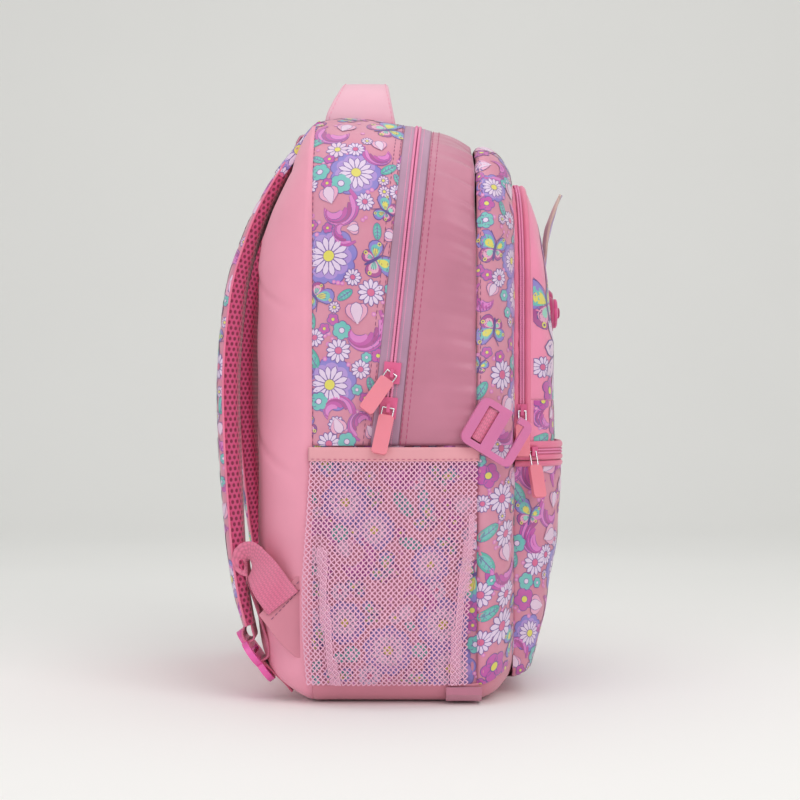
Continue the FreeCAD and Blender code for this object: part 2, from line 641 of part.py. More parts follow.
def appliques():
    """Stuffed leaf flap and layered flower on the arch pocket's face."""
    leaf = strip(
        [
            (vec(-14.0, -116.6, 322.0), vec(1, 0, 0), vec(0, 1, 0.15), 34.0, 4.0),
            (vec(-14.0, -118.5, 338.0), vec(1, 0, 0), vec(0, 1, 0.15), 36.0, 4.0),
            (vec(-14.0, -121.0, 356.0), vec(1, 0, 0), vec(0, 1, 0.15), 26.0, 4.0),
            (vec(-14.0, -123.8, 374.0), vec(1, 0, 0), vec(0, 1, 0.15), 8.0, 4.0),
        ]
    )
    petals = [Part.makeCylinder(12.0, 5.0, vec(0, -2.5, 0), vec(0, 1, 0))]
    for i in range(6):
        a = math.radians(60 * i)
        at = vec(12.0 * math.cos(a), -2.5, 12.0 * math.sin(a))
        petals.append(Part.makeCylinder(7.5, 5.0, at, vec(0, 1, 0)))
    heart = Part.makeCylinder(6.0, 4.0, vec(0, -6.0, 0), vec(0, 1, 0))
    flower = joined(petals + [heart])
    flower.rotate(vec(0, 0, 0), vec(1, 0, 0), -6.0)
    flower.translate(vec(18.0, -121.3, 283.0))
    return {"leaf_flap": leaf, "flower_applique": flower}


def side_pockets():
    parts = {"mesh_pocket_left": mesh_pocket(), "pocket_binding_left": binding()}
    for name in list(parts):
        parts[name.replace("left", "right")] = mirrored(parts[name])
    return parts


def main():
    os.makedirs("parts", exist_ok=True)
    nodes = {}
    for group in (
        shells,
        backing,
        lower_pocket,
        side_pockets,
        carrying,
        lash_parts,
        pullers,
        appliques,
    ):
        nodes.update(group())
    for name, shape in nodes.items():
        shape.exportStep("parts/" + name + ".step")
        lo, hi = shape.BoundBox, shape.BoundBox
        print(
            name,
            len(shape.Solids),
            "solids",
            round(shape.Volume),
            "mm3",
            [round(v, 1) for v in (lo.XMin, lo.YMin, lo.ZMin)],
            [round(v, 1) for v in (hi.XMax, hi.YMax, hi.ZMax)],
            shape.isValid(),
        )


main()
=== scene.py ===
import math

import bmesh
import bpy
import numpy as np
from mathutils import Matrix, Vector


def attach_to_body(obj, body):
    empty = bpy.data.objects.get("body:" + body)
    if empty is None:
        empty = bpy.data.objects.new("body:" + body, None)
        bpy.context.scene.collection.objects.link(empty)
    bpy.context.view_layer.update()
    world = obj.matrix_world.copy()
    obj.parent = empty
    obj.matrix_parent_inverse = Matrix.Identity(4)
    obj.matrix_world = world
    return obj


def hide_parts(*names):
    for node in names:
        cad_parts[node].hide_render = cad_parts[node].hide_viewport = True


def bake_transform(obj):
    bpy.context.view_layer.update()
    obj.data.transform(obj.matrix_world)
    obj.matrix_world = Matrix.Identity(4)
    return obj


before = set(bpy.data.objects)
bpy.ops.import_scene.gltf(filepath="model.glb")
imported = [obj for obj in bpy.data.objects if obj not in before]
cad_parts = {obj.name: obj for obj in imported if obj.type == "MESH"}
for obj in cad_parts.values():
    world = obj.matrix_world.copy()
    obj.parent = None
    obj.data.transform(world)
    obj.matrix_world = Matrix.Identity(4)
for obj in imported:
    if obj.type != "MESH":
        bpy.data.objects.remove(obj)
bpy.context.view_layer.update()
MM = 0.001

# ---------------------------------------------------------------- sizes, in mm, as the CAD has them
SEAM_Z = 182.0
ZIP_FOOT_Y = 11.0
ZIP_TAN = math.tan(math.radians(6.04))
REAR_Y, FRONT_Y = 63.0, -54.0
LID = ("bag", "front", (0, -0.028, 0.1835), (0, -0.028, 0.212))
FOLD_LID = ("bag", "front", (0, -0.028, 0.1835), (0, -0.028, 0.210))
ARCH_HINGE = ("front", "arch_panel", (0, -0.1, 0.2145), (0, -0.1, 0.236))
PRINT_LIFT, PRINT_STEP = 0.16, 0.035  # height of the print above the cloth, and of each layer above the last
COIL_SIDES = 8

# ---------------------------------------------------------------- small helpers


def run_along(points):
    """Distance along points, from 0 at the first."""
    return np.concatenate([[0], np.cumsum(np.linalg.norm(np.diff(points, axis=0), axis=1))])


def ring_faces(n, m, closed=True):
    """Quads between n rings of m points each, as a list."""
    i, j = np.meshgrid(np.arange(n - 1), np.arange(m if closed else m - 1), indexing="ij")
    k = (j + 1) % m
    return np.stack([i * m + j, i * m + k, (i + 1) * m + k, (i + 1) * m + j], -1).reshape(-1, 4).tolist()


def turned(points, angle):
    """Flat points turned about the origin."""
    co, si = math.cos(angle), math.sin(angle)
    return np.stack([points[:, 0] * co - points[:, 1] * si, points[:, 0] * si + points[:, 1] * co], 1)


# ---------------------------------------------------------------- materials


def srgb(r, g, b):
    return tuple(
        ((c / 255 + 0.055) / 1.055) ** 2.4 if c > 10 else c / 255 / 12.92 for c in (r, g, b)
    ) + (1.0,)


class Nodes:
    """Short way to write a node tree."""

    def __init__(self, name):
        self.mat = bpy.data.materials.new(name)
        self.mat.use_nodes = True
        self.tree = self.mat.node_tree
        self.tree.nodes.clear()
        self.out = self.tree.nodes.new("ShaderNodeOutputMaterial")
        self.bsdf = self.add("BsdfPrincipled")
        self.tree.links.new(self.bsdf.outputs[0], self.out.inputs[0])
        self.coord = self.add("TexCoord").outputs["Object"]

    def add(self, kind, **values):
        node = self.tree.nodes.new("ShaderNode" + kind)
        for key, value in values.items():
            if hasattr(node, key) and key not in node.inputs:
                setattr(node, key, value)
            else:
                self.put(node.inputs[key.replace("_", " ")], value)
        return node

    def put(self, socket, value):
        if isinstance(value, bpy.types.NodeSocket):
            self.tree.links.new(value, socket)
        else:
            socket.default_value = value

    def math(self, op, a, b=0.5, c=0.5):
        node = self.tree.nodes.new("ShaderNodeMath")
        node.operation = op
        for socket, value in zip(node.inputs, (a, b, c)):
            self.put(socket, value)
        return node.outputs[0]

    def mix(self, fac, a, b, how="MIX"):
        node = self.tree.nodes.new("ShaderNodeMix")
        node.data_type = "RGBA"
        node.blend_type = how
        self.put(node.inputs[0], fac)
        self.put(node.inputs[6], a)
        self.put(node.inputs[7], b)
        return node.outputs[2]

    def noise(self, scale, detail=2.0, vector=None):
        node = self.add("TexNoise", Scale=scale, Detail=detail)
        self.put(node.inputs["Vector"], vector or self.coord)
        return node.outputs[0]

    def ramp(self, value, low, high):
        node = self.add("MapRange")
        self.put(node.inputs["Value"], value)
        node.inputs["From Min"].default_value = low
        node.inputs["From Max"].default_value = high
        return node.outputs[0]

    def bump(self, height, strength, distance, below=None):
        node = self.add("Bump", Strength=strength, Distance=distance)
        self.put(node.inputs["Height"], height)
        if below is not None:
            self.put(node.inputs["Normal"], below)
        return node.outputs[0]

    def surface(self, color, rough, normal=None, **values):
        self.put(self.bsdf.inputs["Base Color"], color)
        self.put(self.bsdf.inputs["Roughness"], rough)
        if normal is not None:
            self.put(self.bsdf.inputs["Normal"], normal)
        for key, value in values.items():
            self.put(self.bsdf.inputs[key.replace("_", " ")], value)
        return self.mat


def weave(n, pitch):
    """Height of a plain weave from object coordinates."""
    s = n.add("SeparateXYZ")
    n.put(s.inputs[0], n.coord)
    k = 2 * math.pi / pitch
    a = n.math("SINE", n.math("MULTIPLY", n.math("ADD", s.outputs[0], s.outputs[1]), k))
    b = n.math("SINE", n.math("MULTIPLY", s.outputs[2], k))
    return n.math("MULTIPLY", a, b)


def cloth(name, color, rough=0.6, pitch=0.0007, vary=0.06, wrinkle=0.0012, sheen=0.25, coat=0.0):
    n = Nodes(name)
    base = n.ramp(n.noise(30.0, 4.0), 0.3, 0.7)
    dark = tuple(c * (1 - vary) for c in color[:3]) + (1.0,)
    light = tuple(min(1.0, c * (1 + vary)) for c in color[:3]) + (1.0,)
    col = n.mix(base, dark, light)
    fine = n.ramp(weave(n, pitch), -1.0, 1.0)
    col = n.mix(n.math("MULTIPLY", fine, 0.10), col, (1, 1, 1, 1), "MULTIPLY")
    soft = n.bump(n.noise(24.0, 3.0), 0.35, wrinkle)
    nrm = n.bump(fine, 0.35, 0.00012, soft)
    rou = n.math("ADD", n.math("MULTIPLY", n.noise(80.0), 0.12), rough - 0.06)
    return n.surface(
        col, rou, nrm, Sheen_Weight=sheen, Sheen_Roughness=0.5, Coat_Weight=coat, Coat_Roughness=0.4
    )


def print_cloth(name, rough=0.5, depth=1.0):
    """Printed cloth: each face carries its ink; a depth below 1 darkens the whole colour as painted shade."""
    n = Nodes(name)
    ink = n.add("Attribute", attribute_name="ink").outputs["Color"]
    base = n.ramp(n.noise(40.0, 4.0), 0.3, 0.7)
    col = n.mix(n.math("MULTIPLY", base, 0.10), ink, srgb(255, 235, 245))
    fine = n.ramp(weave(n, 0.0008), -1.0, 1.0)
    col = n.mix(n.math("MULTIPLY", fine, 0.06), col, (0.4, 0.25, 0.35, 1))
    soft = n.bump(n.noise(26.0, 3.0), 0.3, 0.001)
    # a depth below 1 multiplies the colour down: painted shade
    if depth < 1:
        col = n.mix(1.0, col, (depth, depth * 0.97, depth, 1), "MULTIPLY")
    nrm = n.bump(fine, 0.3, 0.0001, soft)
    rou = n.math("ADD", n.math("MULTIPLY", n.noise(90.0), 0.12), rough - 0.06)
    return n.surface(col, rou, nrm, Sheen_Weight=0.2, Coat_Weight=0.08, Coat_Roughness=0.35)


def plastic(name, color, rough=0.35, coat=0.3, sub=0.0, vary=0.05):
    n = Nodes(name)
    mottled = n.ramp(n.noise(60.0, 3.0), 0.3, 0.7)
    dark = tuple(c * (1 - vary) for c in color[:3]) + (1.0,)
    col = n.mix(mottled, dark, color)
    nrm = n.bump(n.noise(900.0, 2.0), 0.05, 0.0001)
    rou = n.math("ADD", n.math("MULTIPLY", n.noise(120.0), 0.1), rough - 0.05)
    return n.surface(col, rou, nrm, Coat_Weight=coat, Coat_Roughness=0.2, Subsurface_Weight=sub)


def ribbed(name, color, pitch=0.0016, rough=0.6):
    """Woven webbing with cross ribs that follow its own length, held in the map named web."""
    n = Nodes(name)
    uv = n.add("UVMap", uv_map="web").outputs[0]
    s = n.add("SeparateXYZ")
    n.put(s.inputs[0], uv)
    k = 2 * math.pi / pitch
    row = n.math("SINE", n.math("MULTIPLY", s.outputs[1], k))
    shift = n.math("MULTIPLY", n.math("SIGN", row), 0.8)
    yarn = n.math("SINE", n.math("ADD", n.math("MULTIPLY", s.outputs[0], k * 0.9), shift))
    h = n.ramp(n.math("ADD", n.math("ABSOLUTE", row), n.math("MULTIPLY", yarn, 0.5)), -0.5, 1.5)
    # Darker where the ribs sink between the yarns: painted shade in the grooves.
    dark = tuple(c * 0.62 for c in color[:3]) + (1.0,)
    col = n.mix(h, dark, color)
    col = n.mix(n.math("MULTIPLY", n.noise(40.0), 0.12), col, (1, 0.85, 0.92, 1))
    nrm = n.bump(h, 0.6, 0.0004)
    return n.surface(col, rough, nrm, Sheen_Weight=0.3)


def airmesh(name, color, hole_shade):
    """Spacer mesh with rows of oval holes, filled with a dark colour as painted shade, laid by the map named web.
    """
    n = Nodes(name)
    uv = n.add("UVMap", uv_map="web").outputs[0]
    s = n.add("SeparateXYZ")
    n.put(s.inputs[0], uv)
    u, v = s.outputs[0], s.outputs[1]
    row = n.math("DIVIDE", v, 0.0040)
    odd = n.math("MULTIPLY", n.math("FLOORED_MODULO", n.math("FLOOR", row), 2.0), 0.5)
    fu = n.math("SUBTRACT", n.math("FRACT", n.math("ADD", n.math("DIVIDE", u, 0.0034), odd)), 0.5)
    fv = n.math("SUBTRACT", n.math("FRACT", row), 0.5)
    d = n.math(
        "SQRT",
        n.math(
            "ADD",
            n.math("POWER", n.math("ABSOLUTE", n.math("DIVIDE", fu, 0.30)), 2.0),
            n.math("POWER", n.math("ABSOLUTE", n.math("DIVIDE", fv, 0.36)), 2.0),
        ),
    )
    open_ = n.ramp(d, 1.15, 0.8)
    # The holes take the dark hole colour: painted shade inside the mesh.
    col = n.mix(open_, n.mix(n.noise(50.0), color, tuple(c * 0.88 for c in color[:3]) + (1,)), hole_shade)
    nrm = n.bump(n.ramp(d, 0.6, 1.3), 0.7, 0.0007)
    return n.surface(col, 0.65, nrm, Sheen_Weight=0.35)


CORAL = srgb(212, 131, 156)
PRINT = print_cloth("printed cloth")
# The side panels' print behind the mesh pockets, darkened to 0.80 as painted shade from the net.
SHADED_PRINT = print_cloth("printed cloth in painted shade behind the net", 0.5, 0.80)
M = {
    "plain": cloth("plain satin cloth", srgb(194, 120, 145), 0.42, 0.0006, 0.05, 0.0010, 0.35, 0.12),
    "back": cloth("back panel cloth", srgb(238, 156, 180), 0.6, 0.0009, 0.03, 0.0006, 0.2),
    "base": cloth("base cloth", srgb(214, 134, 154), 0.55, 0.0009, 0.04, 0.0006, 0.2),
    "piping": cloth("seam welt cloth", srgb(232, 120, 155), 0.5, 0.0006, 0.05, 0.0004, 0.3),
    "tape": cloth("zip tape", srgb(176, 134, 162), 0.5, 0.0006, 0.10, 0.0002, 0.2, 0.2),
    "tape_pink": cloth("pocket zip tape", srgb(225, 110, 150), 0.5, 0.0006, 0.08, 0.0002, 0.2, 0.2),
    "coil": plastic("zip coil", srgb(238, 140, 182), 0.35, 0.3),
    "thread": plastic("stitching thread", srgb(190, 70, 120), 0.6, 0.0),
    "pale_thread": plastic("pale stitching thread", srgb(240, 150, 180), 0.6, 0.0),
    # A darker, greyer copy of the stitching thread: painted shade.
    "shaded_thread": plastic("shaded stitching thread", srgb(140, 84, 120), 0.6, 0.0),
    "net": plastic("net yarn", srgb(246, 190, 216), 0.45, 0.2),
    "binding": cloth("elastic binding", srgb(230, 160, 170), 0.6, 0.0010, 0.05, 0.0003, 0.3),
    # The second colour is painted shade for the mesh holes.
    "air": airmesh("air mesh", srgb(204, 68, 118), srgb(124, 14, 60)),
    "web": ribbed("webbing", srgb(232, 112, 152), 0.0026),
    # The hanging tail's webbing is a darker copy of the webbing: painted shade.
    "web_shaded": ribbed("webbing tail in painted shade", srgb(214, 78, 120)),
    "buckle": plastic("buckle plastic", srgb(216, 118, 168), 0.32, 0.35, 0.05),
    "flower": plastic("flower lock plastic", srgb(240, 96, 176), 0.3, 0.3, 0.1),
    "slider": plastic("slider paint", srgb(228, 98, 148), 0.28, 0.6),
    "tag": plastic("rubber grip", srgb(238, 132, 150), 0.5, 0.1, 0.05),
    "felt": cloth("felt", srgb(206, 178, 168), 0.85, 0.0012, 0.10, 0.0004, 0.5),
    "glitter": cloth("glitter felt", srgb(150, 90, 190), 0.5, 0.0012, 0.25, 0.0004, 0.5),
    # The petal felt, also used for the flower's eye, is painted darker than the top felt as shade.
    "petal": cloth("flower felt in painted shade", srgb(176, 46, 104), 0.7, 0.0010, 0.12, 0.0004, 0.5),
    "petal_top": cloth("flower top felt", srgb(214, 84, 140), 0.7, 0.0010, 0.12, 0.0004, 0.5),
    "lining": cloth("lining", srgb(214, 150, 176), 0.6, 0.0008, 0.05, 0.0006, 0.2),
    "board": plastic("base board", srgb(60, 56, 60), 0.6, 0.0),
    "foam": cloth("foam", srgb(235, 232, 225), 0.9, 0.0014, 0.05, 0.0003, 0.0),
    "handle": cloth("handle cloth", srgb(232, 176, 194), 0.5, 0.0008, 0.03, 0.0005, 0.25),
}


def wire_material():
    n = Nodes("bright wire")
    rou = n.math("ADD", n.math("MULTIPLY", n.noise(300.0), 0.15), 0.12)
    return n.surface(
        n.mix(n.noise(200.0), srgb(205, 205, 210), srgb(240, 240, 245)), rou, None, Metallic=1.0
    )


M["wire"] = wire_material()

# ---------------------------------------------------------------- surfaces


def catmull(values, params, at):
    """Smooth curve through rows of values at increasing params."""
    values, at = np.asarray(values, float), np.asarray(at, float)
    n = len(params)
    slope = np.gradient(values, params, axis=0) if n > 2 else np.zeros_like(values)
    if n == 2:
        slope[:] = (values[1] - values[0]) / (params[1] - params[0])
    i = np.clip(np.searchsorted(params, at, side="right") - 1, 0, n - 2)
    h = (params[i + 1] - params[i])
    x = ((at - params[i]) / h)
    h, x = h[..., None], x[..., None]
    a, b, sa, sb = values[i], values[i + 1], slope[i], slope[i + 1]
    return (
        a * (2 * x**3 - 3 * x**2 + 1)
        + b * (3 * x**2 - 2 * x**3)
        + sa * h * (x**3 - 2 * x**2 + x)
        + sb * h * (x**3 - x**2)
    )


def loop_points(row, t):
    """Points round an upright outline.

    t runs 0 base centre, 1, 2 low corner, 3 the seam level, 4, 5 top corner, 6 top centre, and mirrors after.
    """
    y, half, low, high, rt, rl = (row[..., k] for k in range(6))
    right = (t > 6) | (t < 0)
    t = np.where(t > 6, 12 - t, np.abs(t))
    y, half, low, high, rt, rl, t = np.broadcast_arrays(y, half, low, high, rt, rl, t)
    a1 = np.clip(t - 1, 0, 1) * math.pi / 2
    a2 = np.clip(t - 4, 0, 1) * math.pi / 2
    seam = np.full_like(low, SEAM_Z)
    zs = np.where(t < 3, low + rl + (t - 2) * (seam - low - rl), seam + (t - 3) * (high - rt - seam))
    x = np.select(
        [t < 1, t < 2, t < 4, t < 5],
        [-(half - rl) * t, -(half - rl) - rl * np.sin(a1), -half, -(half - rt) - rt * np.cos(a2)],
        -(half - rt) * (6 - t),
    )
    z = np.select(
        [t < 1, t < 2, t < 4, t < 5], [low, low + rl - rl * np.cos(a1), zs, high - rt + rt * np.sin(a2)],
        high
    )
    return np.stack([np.where(right, -x, x), y, z], axis=-1)


def profile(rows):
    """Rows along a profile, by the distance run from the first, as a smooth table."""
    rows = np.array(rows, float)
    step = np.sqrt(
        np.diff(rows[:, 0]) ** 2 + (0.5 * np.diff(rows[:, 1]) + 0.5 * np.diff(rows[:, 3])) ** 2
    )
    run = np.concatenate([[0], np.cumsum(step)])
    return rows, run


TUBE = np.array(
    [
        (-54, 142, 0, 400.5, 80, 24),
        (-40, 142.6, 0, 407.5, 80, 24),
        (-20, 143, 0, 415, 81, 24),
        (0, 143.2, 0, 419, 82, 24),
        (25, 143.2, 0, 421.5, 82, 24),
        (50, 142.8, 0, 422, 82, 24),
        (63, 142, 0, 420.5, 82, 24),
    ],
    float,
)
FRONT, FRONT_RUN = profile(
    [
        (-54, 142, 0, 400.5, 80, 24),
        (-59, 141.6, 0.2, 401.8, 80, 24.5),
        (-66, 137.5, 2.5, 400.5, 78, 26),
        (-73, 129, 6, 396.5, 73, 27),
        (-79, 117, 12, 390, 67, 28),
        (-82, 104, 17, 384, 62, 28),
        (-83.4, 98, 21, 376.5, 79, 30),
    ]
)
REAR, REAR_RUN = profile(
    [
        (63, 142, 0, 420.5, 82, 24),
        (68, 141, 1.5, 414, 81, 25),
        (80, 134.5, 13, 387, 76, 29),
        (93, 117, 32, 356, 68, 33),
        (100, 100, 55, 332, 58, 34),
        (104, 82, 84, 308, 44, 30),
    ]
)


def normals(P):
    du = np.gradient(P, axis=0)
    dv = np.gradient(P, axis=1)
    n = np.cross(du, dv)
    size = np.linalg.norm(n, axis=-1, keepdims=True)
    n = n / np.where(size < 1e-9, 1, size)
    middle = np.array([0.0, 0.0, 200.0])
    if np.sum(n * (P - middle)) < 0:
        n = -n
    return n


def bumps(u, q, seed, size):
    """Smooth uneven waves, about 1 high, of one size."""
    r = np.random.default_rng(seed)
    total = np.zeros(np.broadcast(u, q).shape)
    for _ in range(7):
        a = r.uniform(0, 2 * math.pi)
        k = 2 * math.pi / (size * r.uniform(0.7, 1.5))
        total = total + np.sin(k * (u * math.cos(a) + q * math.sin(a)) + r.uniform(0, 6.28))
    return total / 3.0


class Patch:
    """A piece of cloth on the bag: points for u across and q along, with ends that may slant."""

    def __init__(self, P, ua, ub, qs, groove=(1.2, 1.2), puff=0.0, wrinkle=None):
        self.P, self.qs = P, np.asarray(qs, float)
        self.ua = np.broadcast_to(np.asarray(ua, float), self.qs.shape)
        self.ub = np.broadcast_to(np.asarray(ub, float), self.qs.shape)
        n, m = P.shape[:2]
        f = np.linspace(0, 1, n)[:, None]
        self.u = self.ua + (self.ub - self.ua) * f
        width = np.abs(self.ub - self.ua)
        self.N = normals(P)
        d0, d1 = f * width, (1 - f) * width
        lift = puff * np.sin(np.pi * f) * np.ones(m)
        lift = lift - groove[0] * np.exp(-((d0 / 1.7) ** 2)) - groove[1] * np.exp(-((d1 / 1.7) ** 2))
        if wrinkle is not None:
            lift = lift + wrinkle(self.u, self.qs[None, :], d0, d1)
        self.P = P + self.N * lift[..., None]
        self.N = normals(self.P)

    def at(self, u, q, lift):
        n = self.P.shape[0]
        j = np.interp(q, self.qs, np.arange(len(self.qs)))
        ua = np.interp(q, self.qs, self.ua)
        ub = np.interp(q, self.qs, self.ub)
        i = np.clip((u - ua) / (ub - ua), 0, 1) * (n - 1)
        i0 = np.minimum(i.astype(int), n - 2)
        j0 = np.minimum(j.astype(int), len(self.qs) - 2)
        fi, fj = (i - i0)[:, None], (j - j0)[:, None]

        def lerp(A):
            low = A[i0, j0] * (1 - fi) + A[i0 + 1, j0] * fi
            high = A[i0, j0 + 1] * (1 - fi) + A[i0 + 1, j0 + 1] * fi
            return low * (1 - fj) + high * fj

        return lerp(self.P) + lerp(self.N) * np.asarray(lift)[:, None]

    def inside(self, u, q):
        ua, ub = np.interp(q, self.qs, self.ua), np.interp(q, self.qs, self.ub)
        f = (u - ua) / (ub - ua)
        return (f > 0) & (f < 1) & (q > self.qs[0]) & (q < self.qs[-1])


def make(name, verts, faces, mats, inks=None, web=None, smooth=True):
    me = bpy.data.meshes.new(name)
    me.from_pydata((np.asarray(verts) * MM).tolist(), [], faces)
    ob = bpy.data.objects.new(name, me)
    bpy.context.scene.collection.objects.link(ob)
    for m in mats if isinstance(mats, (list, tuple)) else [mats]:
        me.materials.append(m)
    if inks is not None:
        layer = me.color_attributes.new("ink", "FLOAT_COLOR", "CORNER")
        sizes = np.array([len(f) for f in faces])
        layer.data.foreach_set("color", np.repeat(np.asarray(inks, np.float32), sizes, axis=0).ravel())
    if web is not None:
        uv = me.uv_layers.new(name="web")
        index = np.array([i for f in faces for i in f])
        uv.data.foreach_set("uv", (np.asarray(web)[index] * MM).astype(np.float32).ravel())
    if smooth:
        me.polygons.foreach_set("use_smooth", np.ones(len(me.polygons), bool))
    me.update()
    return ob


def grid_faces(n, m, flip=False, closed=False):
    i, j = np.meshgrid(np.arange(n - (0 if closed else 1)), np.arange(m - 1), indexing="ij")
    a, b = i * m + j, ((i + 1) % n) * m + j
    quad = np.stack([a, b, b + 1, a + 1], -1).reshape(-1, 4)
    if flip:
        quad = quad[:, ::-1]
    return quad.tolist()


def facing(P, N):
    """True if grid faces in their own order would turn their backs."""
    n, m = P.shape[0] // 2, P.shape[1] // 2
    du, dv = P[n + 1, m] - P[n, m], P[n, m + 1] - P[n, m]
    return float(np.dot(np.cross(du, dv), N[n, m])) < 0


def solid(ob, thick, offset=-1.0):
    mod = ob.modifiers.new("thickness", "SOLIDIFY")
    mod.thickness = thick * MM
    mod.offset = offset
    return ob


def cloth_piece(name, patch, mat, body, inks=None, thick=1.2, nodes=(), blend=None):
    n, m = patch.P.shape[:2]
    faces = grid_faces(n, m, facing(patch.P, patch.N))
    ink = None
    if inks is not None:
        ink = np.tile(np.array(inks), (len(faces), 1))
    ob = make(name, patch.P.reshape(-1, 3), faces, mat, inks=ink)
    solid(ob, thick)
    attach(ob, body, nodes, blend)
    return ob


def attach(ob, body, nodes=(), blend=None):
    if blend:
        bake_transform(ob)
    else:
        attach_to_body(ob, body)
    if nodes:
        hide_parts(*nodes)


# ---------------------------------------------------------------- printed motifs

VIOLET = srgb(112, 82, 160)
INK = {
    "lilac": srgb(174, 140, 210),
    "peri": srgb(134, 122, 202),
    "pale": srgb(226, 198, 222),
    "white": srgb(226, 206, 232),
    "yellow": srgb(224, 214, 84),
    "rose": srgb(216, 92, 140),
    "teal": srgb(100, 190, 184),
    "mint": srgb(146, 210, 190),
    "green": srgb(72, 176, 160),
    "magenta": srgb(192, 72, 164),
    "plum": srgb(168, 60, 140),
    "orchid": srgb(218, 120, 196),
    "pink": srgb(230, 164, 194),
    "violet": VIOLET,
    "deep": srgb(84, 60, 140),
}


class Print:
    """Flat shapes to lay on a patch, each a fan of rings with its layer and ink."""

    def __init__(self):
        self.pts, self.lift, self.faces, self.inks, self.count = [], [], [], [], 0

    def store(self, pts, faces, ink, layer):
        self.pts.append(pts)
        self.lift.append(np.full(len(pts), PRINT_LIFT + PRINT_STEP * layer))
        self.faces += faces
        self.inks += [INK[ink]] * len(faces)
        self.count += len(pts)

    def blob(self, c, radius, ink, layer, rot=0.0, shift=(0, 0), segs=20, rings=2, squash=1.0):
        th = np.linspace(0, 2 * math.pi, segs, endpoint=False)
        r = radius(th) if callable(radius) else np.full(segs, float(radius))
        x, y = r * np.cos(th) + shift[0], r * np.sin(th) * squash + shift[1]
        ring = [np.array([[shift[0], shift[1]]])]
        for k in range(1, rings + 1):
            f = k / rings
            ring.append(np.stack([shift[0] + (x - shift[0]) * f, shift[1] + (y - shift[1]) * f], 1))
        pts = np.concatenate(ring)
        pts = turned(pts, rot) + np.array(c)
        o = self.count
        faces = [[o, o + 1 + i, o + 1 + (i + 1) % segs] for i in range(segs)]
        for k in range(1, rings):
            a, b = o + 1 + (k - 1) * segs, o + 1 + k * segs
            faces += [[a + i, b + i, b + (i + 1) % segs, a + (i + 1) % segs] for i in range(segs)]
        self.store(pts, faces, ink, layer)

    def petal(self, c, ang, near, far, wide, ink, layer):
        a, mid = (far - near) / 2, (far + near) / 2
        shape = lambda th: 1.0 / np.sqrt(
            (np.cos(th) / a) ** 2 + (np.sin(th) / (wide / 2 * (1 + 0.35 * np.cos(th)))) ** 2
        )
        self.blob(c, shape, ink, layer, ang, (mid, 0), 14, 2)

    def daisy(self, c, R, n=12, petal="white", eye="yellow", layer=0, rot=0.0, line=0.5):
        w = 2 * math.pi * R * 0.62 / n * 0.80
        for k in range(n):
            a = rot + 2 * math.pi * k / n
            self.petal(
                c, a, R * 0.16 - line, R * (1 - 0.05 * (k % 2)) + line, w + 2 * line, "violet", layer
            )
        for k in range(n):
            a = rot + 2 * math.pi * k / n
            self.petal(c, a, R * 0.16, R * (1 - 0.05 * (k % 2)), w, petal, layer + 1)
        self.blob(c, R * 0.27 + line, "violet", layer + 2, segs=16, rings=1)
        self.blob(c, R * 0.27, eye, layer + 3, segs=16, rings=1)

    def blossom(self, c, R, rot=0.0, outer="peri", inner="lilac", n=9):
        f = lambda s: (lambda th: s * (0.90 + 0.14 * np.abs(np.cos(th * n / 2)) ** 0.7))
        segs = 8 * n
        self.blob(c, f(R + 0.7), "violet", 0, rot, segs=segs, rings=4)
        self.blob(c, f(R), outer, 1, rot, segs=segs, rings=4)
        self.blob(c, f(R * 0.82), inner, 2, rot + 0.2, segs=segs, rings=3)
        self.daisy(c, R * 0.74, 14, "white", "yellow", 3, rot, 0.45)

    def round_flower(self, c, R, petal="teal", eye="white", n=6, rot=0.0, layer=4):
        for grow, ink, lay in ((0.5, "violet", layer), (0.0, petal, layer + 1)):
            for k in range(n):
                a = rot + 2 * math.pi * k / n
                at = (c[0] + 0.56 * R * math.cos(a), c[1] + 0.56 * R * math.sin(a))
                self.blob(at, R * 0.42 + grow, ink, lay, segs=14, rings=1)
        self.blob(c, R * 0.34, "violet", layer + 2, segs=14, rings=1)
        self.blob(c, R * 0.27, eye, layer + 3, segs=14, rings=1)

    def leaf(self, c, L, rot=0.0, ink="green", vein="teal", layer=2):
        pod = lambda s: (
            lambda th: 1.0 / np.sqrt((np.cos(th) / (s * 0.5)) ** 2 + (np.sin(th) / (s * 0.24)) ** 2)
        )
        self.blob(c, pod(L + 1.0), "violet", layer, rot, segs=20)
        self.blob(c, pod(L), ink, layer + 1, rot, segs=20)
        self.blob(c, pod(L * 0.72), vein, layer + 2, rot, segs=18)
        self.stroke(c, [(-L * 0.42, 0), (0, 0), (L * 0.44, 0)], 0.5, "violet", layer + 3, rot)
        for k in (-0.2, 0.0, 0.2):
            for s in (-1, 1):
                self.stroke(
                    c, [(k * L, 0), ((k + 0.1) * L, s * L * 0.15)], 0.35, "violet", layer + 3, rot
                )

    def stroke(self, c, line, width, ink, layer, rot=0.0, taper=False):
        line = np.array(line, float)
        if len(line) > 2:
            run = run_along(line)
            line = catmull(line, run, np.linspace(0, run[-1], max(6, int(run[-1] / 1.6))))
        d = np.gradient(line, axis=0)
        d /= np.maximum(np.linalg.norm(d, axis=1, keepdims=True), 1e-9)
        side = np.stack([-d[:, 1], d[:, 0]], 1)
        w = np.full(len(line), width / 2)
        if taper:
            w = width / 2 * np.sin(np.linspace(0.25, math.pi, len(line))) ** 0.7 + 0.12
        pts = np.concatenate([line + side * w[:, None], line - side * w[:, None]])
        pts = turned(pts, rot) + np.array(c)
        n, o = len(line), self.count
        faces = [[o + i, o + i + 1, o + n + i + 1, o + n + i] for i in range(n - 1)]
        self.store(pts, faces, ink, layer)

